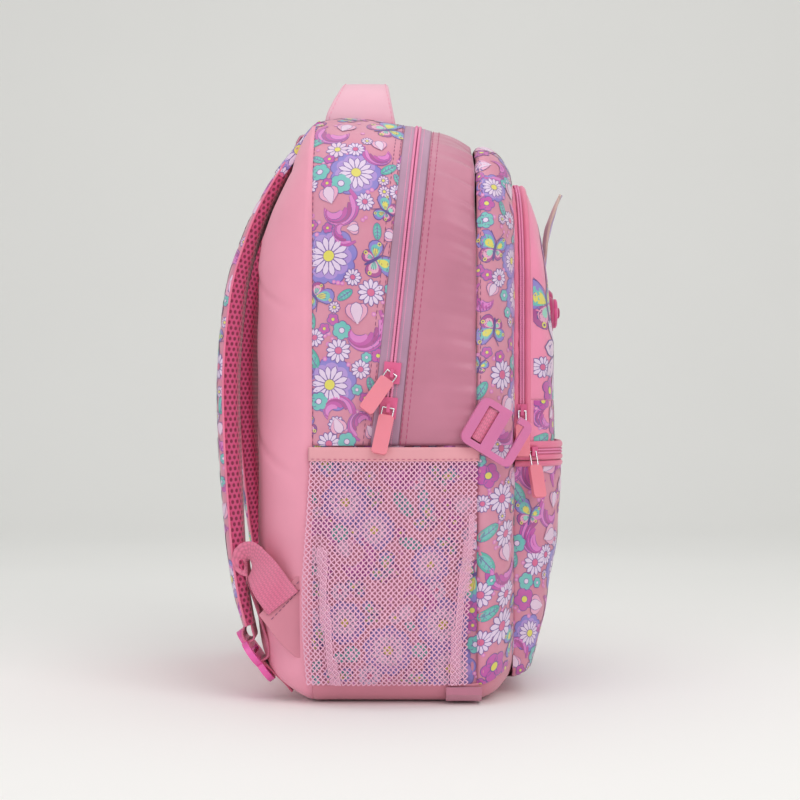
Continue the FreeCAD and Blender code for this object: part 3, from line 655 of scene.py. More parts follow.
    def butterfly(self, c, S, rot=0.0, flip=1):
        """Open wings in layered inks, with eye spots, a slim body and feelers."""
        wings = (
            (0.95, 1.05, 0.74, ("peri", "teal", "yellow")), (2.25, 0.74, 0.62, ("plum", "pink", "mint"))
        )
        for side in (-1, 1):
            for ang, reach, wide, inks in wings[::-1]:
                turn = rot + side * ang
                small = 0.72 if side * flip < 0 else 1.0
                L, W = S * reach * small, S * wide * small
                self.petal(c, turn, 0.02 * S, L + 0.5, W + 0.9, "deep", 2)
                self.petal(c, turn, 0.02 * S, L, W, inks[0], 3)
                self.petal(c, turn, 0.06 * S, L * 0.80, W * 0.66, inks[1], 4)
                self.petal(c, turn, 0.10 * S, L * 0.58, W * 0.40, inks[2], 5)
                far = (c[0] + 0.84 * L * math.cos(turn + 0.22), c[1] + 0.84 * L * math.sin(turn + 0.22))
                self.blob(far, S * 0.085, "yellow", 6, segs=10, rings=1)
                self.blob(far, S * 0.04, "deep", 7, segs=8, rings=1)
                for da in (-0.22, 0.0, 0.22):
                    p0 = (0.18 * L * math.cos(turn + da), 0.18 * L * math.sin(turn + da))
                    p1 = (0.62 * L * math.cos(turn + da), 0.62 * L * math.sin(turn + da))
                    self.stroke(c, [p0, p1], 0.3, "deep", 6)
        self.stroke(c, [(-0.5 * S, 0), (0, 0.02 * S), (0.36 * S, 0)], S * 0.12, "deep", 8, rot, True)
        for k in (-0.22, 0.22):
            self.stroke(
                c, [(0.34 * S, 0), (0.6 * S, k * S), (0.8 * S, 1.6 * k * S)], 0.45, "deep", 8, rot
            )

    def swirl(self, c, S, rot=0.0, flip=1, pale=True):
        """Flowing curls in several inks, round a pale bud."""
        for k, ink in enumerate(("magenta", "orchid", "plum", "magenta", "orchid")):
            r0 = S * (1.12 - 0.17 * k)
            line = []
            for a in np.linspace(0.05 + 0.28 * k, 4.3 - 0.16 * k, 9):
                r = r0 * (0.66 + 0.40 * math.cos(a * 0.8 - 0.15 * k))
                line.append((r * math.cos(a) - 0.10 * S, flip * r * math.sin(a)))
            self.stroke(c, line, 0.25 * S + 0.8, "violet", 2 + k, rot, True)
            self.stroke(c, line, 0.25 * S, ink, 3 + k, rot, True)
        if pale:
            turn = rot - 0.9 * flip
            at = (c[0] + 0.22 * S * math.cos(turn), c[1] + 0.22 * S * math.sin(turn))
            for da in (-0.42, 0.42, 0.0):
                self.petal(
                    at, turn + da, -0.1 * S, 0.72 * S + 0.35, 0.40 * S + 0.7, "violet", 9 + (da == 0) * 2
                )
                self.petal(
                    at, turn + da, -0.1 * S, 0.72 * S, 0.40 * S, "pale" if da == 0 else "pink",
                    10 + (da == 0) * 2
                )

    def kind(self, kind, c, R, rot=0.0):
        if kind == "blossom":
            self.blossom(c, R, rot)
        elif kind == "daisy":
            self.daisy(c, R, 12, "white", "rose", 3, rot)
        elif kind == "sun":
            self.daisy(c, R, 10, "pale", "yellow", 3, rot)
        elif kind == "teal":
            self.round_flower(c, R, "teal", "white", 6, rot)
        elif kind == "plum":
            self.round_flower(c, R, "magenta", "yellow", 5, rot)
        elif kind == "leaf":
            self.leaf(c, R * 2, rot)
        elif kind == "butterfly":
            self.butterfly(c, R, rot)
        elif kind == "butterfly_":
            self.butterfly(c, R, rot, -1)
        elif kind == "swirl":
            self.swirl(c, R * 1.15, rot)
        elif kind == "swirl_":
            self.swirl(c, R * 1.15, rot, -1)
        else:
            self.blob(c, R, "orchid", 2, segs=12, rings=1)
            self.blob(c, R * 0.5, "pink", 3, segs=10, rings=1)

    def fill(self, u0, u1, q0, q1, placed, seed, density=1.0):
        """Covers a region with motifs, large first, clear of those already placed."""
        r = np.random.default_rng(seed)
        spots = [(u, q, R) for _, u, q, R, *_ in placed]
        for kind, u, q, R, *rot in placed:
            self.kind(kind, (u, q), R, rot[0] if rot else r.uniform(0, 6.28))
        sizes = (
            (19.0, ("blossom", "swirl", "butterfly", "swirl_", "butterfly_"), 90),
            (14.0, ("butterfly", "swirl", "swirl_", "butterfly_", "blossom"), 260),
            (9.5, ("daisy", "swirl", "leaf", "butterfly", "daisy"), 380),
            (6.5, ("teal", "daisy", "plum", "leaf"), 620),
            (4.0, ("teal", "sun", "plum"), 900),
            (1.5, ("dot",), 700),
        )
        area = abs(u1 - u0) * abs(q1 - q0) / 40000.0
        for R, kinds, tries in sizes:
            for _ in range(int(tries * area * density) + 3):
                u, q = r.uniform(u0, u1), r.uniform(q0, q1)
                size = R * r.uniform(0.88, 1.1)
                if all((u - a) ** 2 + (q - b) ** 2 > (0.84 * (size + s)) ** 2 for a, b, s in spots):
                    spots.append((u, q, size))
                    self.kind(kinds[r.integers(len(kinds))], (u, q), size, r.uniform(0, 6.28))

    def lay(self, name, patch, body, blend=None, slot="print_fabric", mat=None):
        pts = np.concatenate(self.pts)
        lift = np.concatenate(self.lift)
        inside = patch.inside(pts[:, 0], pts[:, 1])
        keep = [k for k, f in enumerate(self.faces) if inside[f].any()]
        verts = patch.at(pts[:, 0], pts[:, 1], lift)
        used = np.zeros(len(pts), bool)
        for k in keep:
            used[self.faces[k]] = True
        new = np.cumsum(used) - 1
        faces = [[int(new[i]) for i in self.faces[k]] for k in keep]
        inks = [self.inks[k] for k in keep]
        kept = verts[used]
        ob = make(name, kept, faces, mat or PRINT, inks=inks)
        attach(ob, body, (), blend)
        return ob


# ---------------------------------------------------------------- body panels

T_UP = np.concatenate(
    [
        np.linspace(3, 4, 70), np.linspace(4, 5, 56)[1:], np.linspace(5, 7, 56)[1:],
        np.linspace(7, 8, 56)[1:], np.linspace(8, 9, 70)[1:]
    ]
)


def along(rows, t):
    """Distance along an outline, equal to the height on the near side."""
    P = loop_points(np.asarray(rows, float)[None, :], np.asarray(t))
    return SEAM_Z + run_along(P)


Q_UP = along(TUBE[3], T_UP)


def tube(y, t):
    return loop_points(catmull(TUBE, TUBE[:, 0], y), t)


def zip_y(t):
    """Depth of the main zip's centre line at each place round the outline."""
    y = np.zeros_like(t)
    for _ in range(3):
        z = tube(y, t)[..., 2]
        y = ZIP_FOOT_Y - (z - SEAM_Z) * ZIP_TAN
    return y


ZY = zip_y(T_UP)


def tube_patch(y0, y1, n, t=T_UP, q=Q_UP, **kw):
    y0 = np.broadcast_to(y0, t.shape)
    y1 = np.broadcast_to(y1, t.shape)
    f = np.linspace(0, 1, n)[:, None]
    y = y0 + (y1 - y0) * f
    return Patch(tube(y, np.broadcast_to(t, y.shape)), y0, y1, q, **kw)


def profile_patch(rows, run, t, q, n, **kw):
    u = np.linspace(0, run[-1], n)
    row = catmull(rows, run, u)
    P = loop_points(row[:, None, :], np.asarray(t)[None, :])
    return Patch(P, 0.0, run[-1], q, **kw)


def gathers(u, q, d0, d1):
    """Soft folds that run in from the front seam, with broad unevenness."""
    fold = np.sin(q * 0.30 + 2.2 * np.sin(q * 0.05) + 0.035 * d1) + 0.5 * np.sin(q * 0.71 + 0.05 * d1)
    fold = fold * np.exp(-(d1 / 15.0)) * np.clip(d1 / 2.5, 0, 1) * (0.65 + 0.35 * bumps(0, q, 3, 90))
    return 1.5 * fold + 1.0 * bumps(u, q, 5, 70) * np.clip(d0 / 20, 0, 1)


def loose(seed, height, size):
    return lambda u, q, d0, d1: height * bumps(u, q, seed, size) * np.clip(np.minimum(d0, d1) / 9, 0, 1)


rear_side = tube_patch(REAR_Y, ZY + 9.5, 30, puff=1.0, groove=(1.6, 0.5), wrinkle=loose(2, 0.45, 45))
cloth_piece("rear_gusset_cloth", rear_side, PRINT, "bag", CORAL, 1.6, ("rear_gusset",))

placed_rear = [
    ("blossom", 31.0, 372.4, 17.5, 0.3),
    ("teal", 41.5, 363.2, 7.5),
    ("blossom", 50.0, 312.6, 19.0, 0.9),
    ("blossom", 49.3, 223.9, 18.0, 0.1),
    ("swirl", 47.2, 346.4, 14.0, 2.2),
    ("daisy", 24.6, 350.6, 6.5),
    ("sun", 44.4, 392.8, 8.0),
    ("swirl_", 12.7, 392.1, 11.0, 0.4),
    ("butterfly", 9.9, 344.9, 12.0, 0.5),
    ("butterfly", 17.6, 311.2, 17.0, 2.6),
    ("swirl", 38.7, 330.9, 9.0, 3.9),
    ("daisy", 20.4, 287.9, 9.5),
    ("butterfly_", 59.8, 285.8, 13.0, 4.2),
    ("swirl", 29.6, 263.3, 16.0, 2.4),
    ("teal", 40.8, 261.2, 6.5),
    ("daisy", 59.8, 256.9, 6.5),
    ("teal", 57.0, 212.6, 6.5),
    ("swirl_", 46.5, 202.7, 12.0, 3.4),
    ("daisy", 44.4, 196.4, 6.0),
    ("leaf", 1.4, 369.6, 5.0, 1.1),
    ("leaf", 20.4, 223.9, 5.5, 1.3),
    ("leaf", 58.4, 385.1, 5.5, 0.6),
    ("plum", 15.5, 244.3, 5.0),
    ("swirl", 23.9, 197.1, 10.0, 5.0),
]
p = Print()
p.fill(-25, 66, SEAM_Z, Q_UP[-1], placed_rear, 4)
p.lay("rear_gusset_print", rear_side, "bag")

rear_tape = tube_patch(ZY + 9.7, ZY + 0.15, 8, groove=(-0.15, 0), puff=0.3)
cloth_piece("rear_zip_tape_cloth", rear_tape, M["tape"], "bag", None, 0.8, ("rear_zip_tape",))
front_tape = tube_patch(ZY - 0.15, ZY - 9.7, 8, groove=(0, -0.15), puff=0.3)
cloth_piece(
    "front_zip_tape_cloth", front_tape, M["tape"], "front", None, 0.8, ("front_zip_tape",),
    LID
)

front_side = tube_patch(ZY - 9.5, FRONT_Y, 34, puff=1.6, groove=(0.6, 2.2), wrinkle=gathers)
cloth_piece(
    "front_gusset_cloth", front_side, M["plain"], "front", None, 1.6, ("front_gusset",),
    LID
)

Q_FRONT = along(FRONT[0], T_UP)
front_face = profile_patch(
    FRONT, FRONT_RUN, T_UP, Q_FRONT, 26, groove=(2.2, 0.0), puff=0.8, wrinkle=loose(8, 0.5, 38)
)
cloth_piece(
    "front_panel_upper_cloth", front_face, PRINT, "front", CORAL, 1.4,
    ("front_panel_upper", "front_fold"), LID
)
placed_front = [
    ("blossom", 13, 366.8, 12.0, 0.2),
    ("plum", 7, 352.0, 6.0),
    ("teal", 6, 339.3, 6.0),
    ("butterfly", 13, 318.2, 16.0, 1.4),
    ("blossom", 33, 311.2, 12.0, 0.2),
    ("daisy", 31, 343.5, 8.0),
    ("swirl", 8, 284.4, 10.0, 2.0),
    ("butterfly_", 12, 263.3, 15.0, 4.6),
    ("daisy", 20, 230.9, 11.0),
    ("plum", 31, 252.7, 5.0),
]
p = Print()
p.fill(0, FRONT_RUN[-1], SEAM_Z, Q_FRONT[-1], placed_front, 21)
p.lay("front_panel_upper_print", front_face, "front", LID)


def arch_lining():
    """The sheet of lining that closes the back of the arch pocket."""
    edge = loop_points(np.array([[-80.4, 105.0, 150.0, 382.0, 61.0, 28.0]]), T_UP)
    half = (len(T_UP) + 1) // 2
    f = np.linspace(0, 1, 40)[None, :, None]
    P = edge[:half, None] * (1 - f) + edge[::-1][:half, None] * f
    inner = np.clip(np.minimum(P[..., 0] + 105, 105 - P[..., 0]) / 12, 0, 1)
    P[..., 1] += 1.2 * inner * bumps(P[..., 0], P[..., 2], 23, 60)
    ob = make("arch_lining_cloth", P.reshape(-1, 3), grid_faces(half, 40), M["lining"])
    solid(ob, 0.8)
    attach(ob, "front", (), LID)


arch_lining()

# Lower half
T_LOW = np.concatenate([np.linspace(1.727, 2, 10), np.linspace(2, 3, 60)[1:]])


def low_q(rows):
    P = loop_points(np.asarray(rows, float)[None, :], T_LOW)
    return P[:, 2]


def both_sides(name, rows, run, body, nodes, n, tube_like, placed, seed, span):
    for word, flip in (("left", 1), ("right", -1)):
        if tube_like:
            patch = tube_patch(
                REAR_Y, FRONT_Y, n, T_LOW, low_q(TUBE[3]), groove=(1.2, 1.2), puff=-0.6, wrinkle=lambda u,
                q, d0,
                d1: (
                    0.9 * bumps(0 * u + u * 2.2, q * 0.35, 61, 50) - 0.4
                ) * np.clip(np.minimum(d0, d1) / 12, 0, 1)
            )
        else:
            patch = profile_patch(
                rows, run, T_LOW, low_q(rows[0]), n, groove=(1.6, 0), puff=0.8,
                wrinkle=loose(seed, 0.6, 36)
            )
        patch.P = patch.P * np.array([flip, 1, 1])
        patch.N = patch.N * np.array([flip, 1, 1])
        take = [x.replace("left", word) for x in nodes]
        # The side panels behind the net take the print darkened as painted shade.
        mat = SHADED_PRINT if tube_like else PRINT
        cloth_piece(
            name + "_" + word + "_cloth", patch, mat, body, CORAL, 1.4,
            take if tube_like or flip > 0 else ()
        )
        p = Print()
        p.fill(*span, 14, SEAM_Z, placed if flip > 0 else [], seed + flip)
        p.lay(name + "_" + word + "_print", patch, body, mat=mat)


placed_low = [
    ("blossom", 38.7, 142.2, 16.0),
    ("blossom", 18.3, 122.5, 14.0),
    ("butterfly", -28.2, 159.1, 14.0, 1.9),
    ("butterfly", -19.7, 129.5, 14.0, 0.5),
    ("blossom", 8.4, 38.0, 17.0),
    ("swirl", 35.2, 101.4, 14.0),
    ("swirl_", -8.4, 73.2, 14.0),
    ("butterfly", 57.7, 45.0, 12.0, 0.8),
]
both_sides(
    "side_panel", None, None, "bag", ["side_panel_left"], 40, True, placed_low, 31, (FRONT_Y, REAR_Y)
)
placed_low_front = [
    ("plum", 8, 160.5, 9.0),
    ("daisy", 20, 142.2, 11.5),
    ("leaf", 8, 119.7, 9.0, 0.5),
    ("swirl", 26, 90.8, 15.0, 2.6),
    ("daisy", 20, 47.2, 12.0),
    ("plum", 12, 22.5, 9.5),
    ("butterfly", 36, 133.0, 10.0, 1.2),
]
both_sides(
    "front_panel_lower", FRONT, FRONT_RUN, "bag", ["front_panel_lower"], 24, False, placed_low_front, 41,
    (0, FRONT_RUN[-1])
)

# Base, from one low edge round to the other
T_BASE = np.concatenate(
    [np.linspace(-1.727, -1, 16), np.linspace(-1, 1, 30)[1:], np.linspace(1, 1.727, 16)[1:]]
)
base_rows, base_run = profile(
    [
        (62.8, 142.4, -0.2, 430, 82, 24),
        (40, 142.8, 0.0, 430, 82, 24),
        (0, 143, 0.0, 428, 82, 24),
        (-40, 142.8, 0.0, 416, 80, 24),
        (-54, 142.4, 0.2, 410, 80, 24),
        (-66, 135.5, 3.2, 406, 76, 26),
        (-76, 120.5, 9.5, 397, 70, 28),
        (-81.5, 107, 16.0, 390, 66, 28),
        (-83.4, 96, 22.0, 384, 66, 30),
    ]
)
base = profile_patch(base_rows, base_run, T_BASE, np.arange(len(T_BASE)), 50, groove=(1.0, 0.0), puff=0.0)
cloth_piece("base_panel_cloth", base, M["base"], "bag", None, 1.6, ("base_panel",))

# ---------------------------------------------------------------- back panel


def back_depth(x, z):
    """Depth of the padded back at one place, with its quilted grooves."""
    ax = np.abs(x)
    rt, rl = 82.0, 24.0
    r = np.where(z > 200, rt, rl)
    cx, cz = 142.0 - r, np.where(z > 200, 420.5 - rt, rl)
    dz = np.where(z > 200, z - cz, cz - z)
    corner = (ax > cx) & (dz > 0)
    d = np.where(corner, r - np.hypot(ax - cx, dz), np.minimum(142.0 - ax, np.minimum(z, 420.5 - z)))
    d = np.maximum(d, 0)
    rise = 41.6 * (1 - np.exp(-d / 15.0))
    top = np.interp(420.5 - z, [0, 40, 70, 90, 110], [0.35, 0.44, 0.76, 0.93, 1.0])
    low = np.interp(z, [0, 14, 33, 60], [0.8, 0.86, 0.93, 1.0])
    y = REAR_Y + rise * top * low
    for z0, drop, power in ((345.0, 72.0, 1.5), (225.0, 69.0, 2.0)):
        line = z0 - drop * (ax / 142.0) ** power
        y = y - 1.5 * np.exp(-(((z - line) / 3.0) ** 2)) * np.clip(d / 12, 0, 1)
    return y + 0.5 * (1 + bumps(x, z, 17, 60)) * np.clip(d / 25, 0, 1)


def back_piece():
    t = np.concatenate([T_BASE, T_LOW[1:], T_UP[1:], 12 - T_LOW[::-1][1:-1]])
    ring = loop_points(REAR[0][None, :], t)
    core_z = np.clip(ring[:, 2], 70, 330)
    verts, r = [], np.concatenate([np.linspace(0, 0.12, 8), np.linspace(0.12, 1, 46)[1:]])
    for f in r:
        x = ring[:, 0] * (1 - f)
        z = ring[:, 2] * (1 - f) + core_z * f
        y = back_depth(x, z)
        if f == 0:
            y = np.full_like(x, REAR_Y - 1.0)
        verts.append(np.stack([x, y, z], 1))
    P = np.array(verts).transpose(1, 0, 2)
    n, m = P.shape[:2]
    faces = grid_faces(n, m, False, True)
    ob = make("back_panel_cloth", P.reshape(-1, 3), faces, M["back"])
    bm = bmesh.new()
    bm.from_mesh(ob.data)
    bmesh.ops.remove_doubles(bm, verts=bm.verts, dist=0.00002)
    bm.to_mesh(ob.data)
    bm.free()
    solid(ob, 1.4, 1.0 if facing(P, np.broadcast_to([0, 1.0, 0], P.shape)) else -1.0)
    if facing(P, np.broadcast_to([0, 1.0, 0], P.shape)):
        ob.data.flip_normals()
        ob.modifiers[0].offset = -1.0
    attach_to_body(ob, "bag")
    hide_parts("back_panel")


back_piece()

# ---------------------------------------------------------------- sweeps, stitches and zips


def sweep(
    name, line, across, mat, section, body, nodes=(), blend=None, closed=True, caps=True
):
    """A shape swept along points, each with a direction across.

    section gives (across, out) for each place.
    """
    line, across = np.asarray(line, float), np.asarray(across, float)
    d = np.gradient(line, axis=0)
    d /= np.linalg.norm(d, axis=1, keepdims=True)
    across = across - d * np.sum(across * d, axis=1, keepdims=True)
    across /= np.linalg.norm(across, axis=1, keepdims=True)
    out = np.cross(across, d)
    run = run_along(line)
    rings, webs = [], []
    for i in range(len(line)):
        s = section(i / (len(line) - 1))
        rings.append(line[i] + across[i] * s[:, :1] + out[i] * s[:, 1:2])
        girth = run_along(s)
        webs.append(np.stack([girth, np.full(len(s), run[i])], 1))
    P, W = np.array(rings), np.array(webs)
    n, m = P.shape[:2]
    faces = ring_faces(n, m, closed)
    if caps and closed:
        faces += [list(range(m))[::-1], [(n - 1) * m + q for q in range(m)]]
    ob = make(name, P.reshape(-1, 3), faces, mat, web=W.reshape(-1, 2))
    if body:
        attach(ob, body, nodes, blend)
    return ob


def smooth_line(points, n):
    points = np.asarray(points, float)
    run = run_along(points[:, :3])
    return catmull(points, run, np.linspace(0, run[-1], n))


def flat_section(width, thick, bulge=0.0, n=5):
    """Flat strap section with rounded edges."""
    r = thick / 2

    def f(_):
        w = width(_) / 2 if callable(width) else width / 2
        h = r if not callable(thick) else thick(_) / 2
        top = [(x, h + bulge * (1 - (x / w) ** 2)) for x in np.linspace(-w + h, w - h, n)]
        a = np.linspace(math.pi / 2, -math.pi / 2, 6)[1:-1]
        right = [(w - h + h * math.cos(v), h * math.sin(v)) for v in a]
        low = [(x, -h - bulge * 0.4 * (1 - (x / w) ** 2)) for x in np.linspace(w - h, -w + h, n)]
        left = [(-w + h - h * math.cos(v), -h * math.sin(v)) for v in a]
        return np.array(top + right + low + left)

    return f


def stitches(name, runs, mat, body, length=2.9, gap=1.3, r=0.28, blend=None):
    """Dashes of thread along lines of (points, normals)."""
    verts, faces = [], []
    for P, N in runs:
        P, N = np.asarray(P, float), np.asarray(N, float)
        run = run_along(P)
        for s in np.arange(0.5, run[-1] - length, length + gap):
            ks = np.array([s, s + length * 0.5, s + length])
            c = np.stack([np.interp(ks, run, P[:, k]) for k in range(3)], 1)
            nn = np.stack([np.interp(ks, run, N[:, k]) for k in range(3)], 1)
            nn /= np.maximum(np.linalg.norm(nn, axis=1, keepdims=True), 1e-9)
            d = c[2] - c[0]
            d = d / max(np.linalg.norm(d), 1e-9)
            sd = np.cross(d, nn[1])
            o = len(verts)
            for k, (h, w) in enumerate(((-0.15, 0.5), (0.22, 1.0), (-0.15, 0.5))):
                base_pt = c[k] + nn[k] * h
                for a, b in ((-1, 0), (0, 1), (1, 0)):
                    verts.append(base_pt + sd * a * r * w + nn[k] * b * r)
            for k in (0, 1):
                for j in (0, 1):
                    a = o + k * 3 + j
                    faces.append([a, a + 3, a + 4, a + 1])
    ob = make(name, verts, faces, mat)
    attach(ob, body, (), blend)
    return ob


def edge_line(patch, d, from_end=False, lift=0.1, step=1):
    """Line on a patch at distance d from one edge."""
    q = patch.qs[::step]
    ua, ub = np.interp(q, patch.qs, patch.ua), np.interp(q, patch.qs, patch.ub)
    sign = np.sign(ub - ua)
    u = ub - sign * d if from_end else ua + sign * d
    P = patch.at(u, q, np.full(len(q), lift))
    N = patch.at(u, q, np.full(len(q), lift + 1.0)) - P
    return P, N


stitches(
    "rear_gusset_stitches",
    [edge_line(rear_side, 1.6, True), edge_line(rear_side, 5.6, True), edge_line(rear_side, 1.8)],
    M["shaded_thread"], "bag"
)
stitches(
    "front_gusset_stitches", [edge_line(front_side, 1.6), edge_line(front_side, 5.4)], M["thread"],
    "front", blend=LID
)
stitches(
    "front_panel_stitches", [edge_line(front_face, 2.6)], M["shaded_thread"], "front", blend=LID,
)


def coil(name, points, norms, sides, body, nodes=(), blend=None, pitch=1.3, r=1.15):
    """A moulded coil strand: a ridged cord along the zip."""
    run = run_along(points)
    n = int(run[-1] / pitch * (3))
    s = np.linspace(0, run[-1], n)
    c = np.stack([np.interp(s, run, points[:, k]) for k in range(3)], 1)
    nn = np.stack([np.interp(s, run, norms[:, k]) for k in range(3)], 1)
    nn /= np.linalg.norm(nn, axis=1, keepdims=True)
    sd = np.stack([np.interp(s, run, sides[:, k]) for k in range(3)], 1)
    sd /= np.linalg.norm(sd, axis=1, keepdims=True)
    size = r * (0.78 + 0.22 * np.cos(2 * math.pi * s / pitch))
    a = np.linspace(0, 2 * math.pi, COIL_SIDES, endpoint=False)
    P = c[:, None, :] + size[:, None, None] * (
        sd[:, None, :] * np.cos(a)[None, :, None] + nn[:, None, :] * np.sin(a)[None, :, None] * 0.85
    )
    ob = make(name, P.reshape(-1, 3), ring_faces(n, COIL_SIDES), M["coil"])
    attach(ob, body, nodes, blend)
    return ob


def zip_strand(off, lift):
    y = ZY + off
    P = tube(y, T_UP)
    patch = tube_patch(ZY + off + 1, ZY + off - 1, 3, groove=(0, 0))
    N = patch.N[1]
    S2 = patch.P[2] - patch.P[0]
    return P + N * lift, N, S2


for name, off, body, node, bl in (
    ("rear_zip_coil_strand", 1.25, "bag", "rear_zip_coil", None),
    ("front_zip_coil_strand", -1.25, "front", "front_zip_coil", LID),
):
    P, N, S2 = zip_strand(off, 0.6)
    coil(name, P, N, S2, body, (node,), bl, r=1.3)
for name, off, body, bl in (("rear_zip_cord", 4.6, "bag", None), ("front_zip_cord", -4.6, "front", LID)):
    P, N, S2 = zip_strand(off, 0.05)
    coil(name, P, N, S2, body, (), bl, r=0.45)

# ---------------------------------------------------------------- arch pocket


def arch_row(y, inset=0.0, rise=0.0):
    return (y, 100.0 - inset, 100.0, 378.0 - rise, 80.0 - inset, 10.0)


Q_ARCH = along(arch_row(-88), T_UP)
ARCH_BAND, ARCH_RUN = profile([arch_row(-81, -1.5, -1.5), arch_row(-84, -1.2, -1.2), arch_row(-86.9)])
welt = profile_patch(
    ARCH_BAND, ARCH_RUN, T_UP, Q_ARCH, 12, groove=(0.6, 0.5), puff=1.2, wrinkle=lambda u, q, d0,
    d1: 0.25 * np.sin(q * 0.5) * bumps(0, q, 6, 40)
)
cloth_piece(
    "arch_gusset_cloth", welt, M["piping"], "front", None, 1.2, ("arch_gusset",), LID
)
rows3, run3 = profile([arch_row(-85.6, 0.9, 0.9), arch_row(-88.5, 0.7, 0.7), arch_row(-91.6, 0.9, 0.9)])
under_coil = profile_patch(rows3, run3, T_UP, Q_ARCH, 5, groove=(0, 0))
cloth_piece("arch_zip_tape_cloth", under_coil, M["tape_pink"], "front", None, 0.8, (), LID)
rows2, run2 = profile([arch_row(-90.2), arch_row(-93.0, -0.6, -0.6), arch_row(-95.5, 0.4, 0.4)])
rim = profile_patch(rows2, run2, T_UP, Q_ARCH, 8, groove=(0.4, 0.3), puff=0.6)
cloth_piece("arch_rim_cloth", rim, M["piping"], "front", None, 1.2, (), LID)
for name, y, node, body in (
    ("arch_coil_rear_strand", -87.6, "arch_coil_rear", "front"),
    ("arch_coil_face_strand", -89.5, "arch_coil_face", "front")
):
    row = np.array(arch_row(y), float)
    P = loop_points(row[None, :], T_UP)
    N = loop_points(np.array(arch_row(y, -1.0, -1.0), float)[None, :], T_UP) - P
    N /= np.linalg.norm(N, axis=1, keepdims=True)
    coil(name, P + N * 0.7, N, np.broadcast_to([0, 1.0, 0], P.shape), body, (node,), LID, r=1.15)


def arch_depth(x, z):
    ax = np.abs(x)
    cz = 298.0
    corner = (ax > 20) & (z > cz)
    d = np.where(corner, 80 - np.hypot(ax - 20, z - cz), np.minimum(100 - ax, 378 - z))
    d = np.maximum(d, 0)
    rise = 24.2 * (1 - 0.45 * np.exp(-d / 6.0) - 0.55 * np.exp(-d / 24.0))
    top = np.interp(378 - z, [0, 19, 60, 120, 200], [0.28, 0.40, 0.70, 0.95, 1.0])
    return -94.0 - rise * top + 0.5 * bumps(x, z, 23, 50) * np.clip(d / 15, 0, 1)


def arch_face_sheet(name, z0, z1, body, bl, nodes=()):
    xs = np.linspace(-1, 1, 110)
    xs = np.sign(xs) * (1 - (1 - np.abs(xs)) ** 1.7)
    zs = np.linspace(z0, z1, max(6, int((z1 - z0) / 2.2)))
    zz = np.broadcast_to(zs[None, :], (len(xs), len(zs)))
    halfw = np.where(zz > 298, 20 + np.sqrt(np.maximum(80.0**2 - (zz - 298) ** 2, 0)), 100.0)
    halfw = np.where(zz >= 377.9, 20.0, halfw)
    xx = xs[:, None] * halfw
    P = np.stack([xx, arch_depth(xx, zz), zz], -1)
    faces = grid_faces(*P.shape[:2], facing(P, np.broadcast_to([0, -1.0, 0], P.shape)))
    ob = make(name, P.reshape(-1, 3), faces, M["plain_face"])
    solid(ob, 1.2)
    attach(ob, body, nodes, bl)
    return ob


M["plain_face"] = cloth("arch face cloth", srgb(240, 142, 176), 0.5, 0.0007, 0.04, 0.0008, 0.25)
arch_face_sheet("arch_face_cloth", 214, 378, "front", ARCH_HINGE, ("arch_face",))
arch_face_sheet("arch_fold_cloth", SEAM_Z, 214.05, "front", FOLD_LID, ("arch_fold",))


class Face:
    """The arch face as somewhere to print, in x and z."""

    def __init__(self, depth, z0, z1, half):
        self.depth, self.z0, self.z1, self.half = depth, z0, z1, half
        self.P = np.zeros((3, 3, 3))
        self.P[:, :, 0] = np.arange(3)[:, None]
        self.P[:, :, 2] = np.arange(3)[None, :]
        self.N = np.broadcast_to([0, -1.0, 0], self.P.shape)

    def clip(self, x, z):
        z = np.clip(z, self.z0, self.z1)
        w = self.half(z)
        return np.clip(x, -w, w), z

    def inside(self, x, z):
        return (np.abs(x) < self.half(z)) & (z > self.z0) & (z < self.z1)

    def at(self, x, z, lift):
        x, z = self.clip(x, z)
        y = self.depth(x, z)
        gx = (self.depth(x + 0.5, z) - y) / 0.5
        gz = (self.depth(x, z + 0.5) - y) / 0.5
        n = np.stack([gx, -np.ones_like(gx), gz], -1)
        n /= np.linalg.norm(n, axis=-1, keepdims=True)
        return np.stack([x, y, z], -1) + n * np.asarray(lift)[:, None]


def arch_half(z):
    return np.where(
        z > 298, 20 + np.sqrt(np.maximum(80.0**2 - (np.minimum(z, 377) - 298) ** 2, 0)), 100.0
    ) - 1.5


def big_picture():
    """Large generic garden picture on the arch face: curls, a pale bud, butterfly and flowers."""
    p = Print()
    for k, (ink, w) in enumerate((("magenta", 17.0), ("orchid", 11.0), ("plum", 9.0))):
        line = [
            (40 - 6 * k, 350 - 10 * k), (-20 - 5 * k, 350 - 12 * k), (-66 - 4 * k, 326 - 6 * k),
            (-70 - 4 * k, 304 - 4 * k), (-46 - 4 * k, 292 - 6 * k)
        ]
        p.stroke((0, 0), line, w + 1.6, "violet", 2 * k, 0, True)
        p.stroke((0, 0), line, w, ink, 2 * k + 1, 0, True)
    p.daisy((-57, 250), 36.0, 11, "pale", "yellow", 7, 0.2, 0.8)
    p.butterfly((-84, 284), 27.0, 1.8)
    p.blossom((60, 252), 21.0, 0.4)
    p.blossom((26, 224), 16.0, 1.0)
    p.butterfly((58, 310), 22.0, 1.2, -1)
    for x, z, R, kind in (
        (80, 282, 8, "daisy"), (-20, 300, 9, "sun"), (0, 262, 8, "teal"), (84, 226, 8, "plum"),
        (-10, 330, 7, "daisy"), (40, 280, 6, "teal")
    ):
        p.kind(kind, (x, z), R, x)
    return p


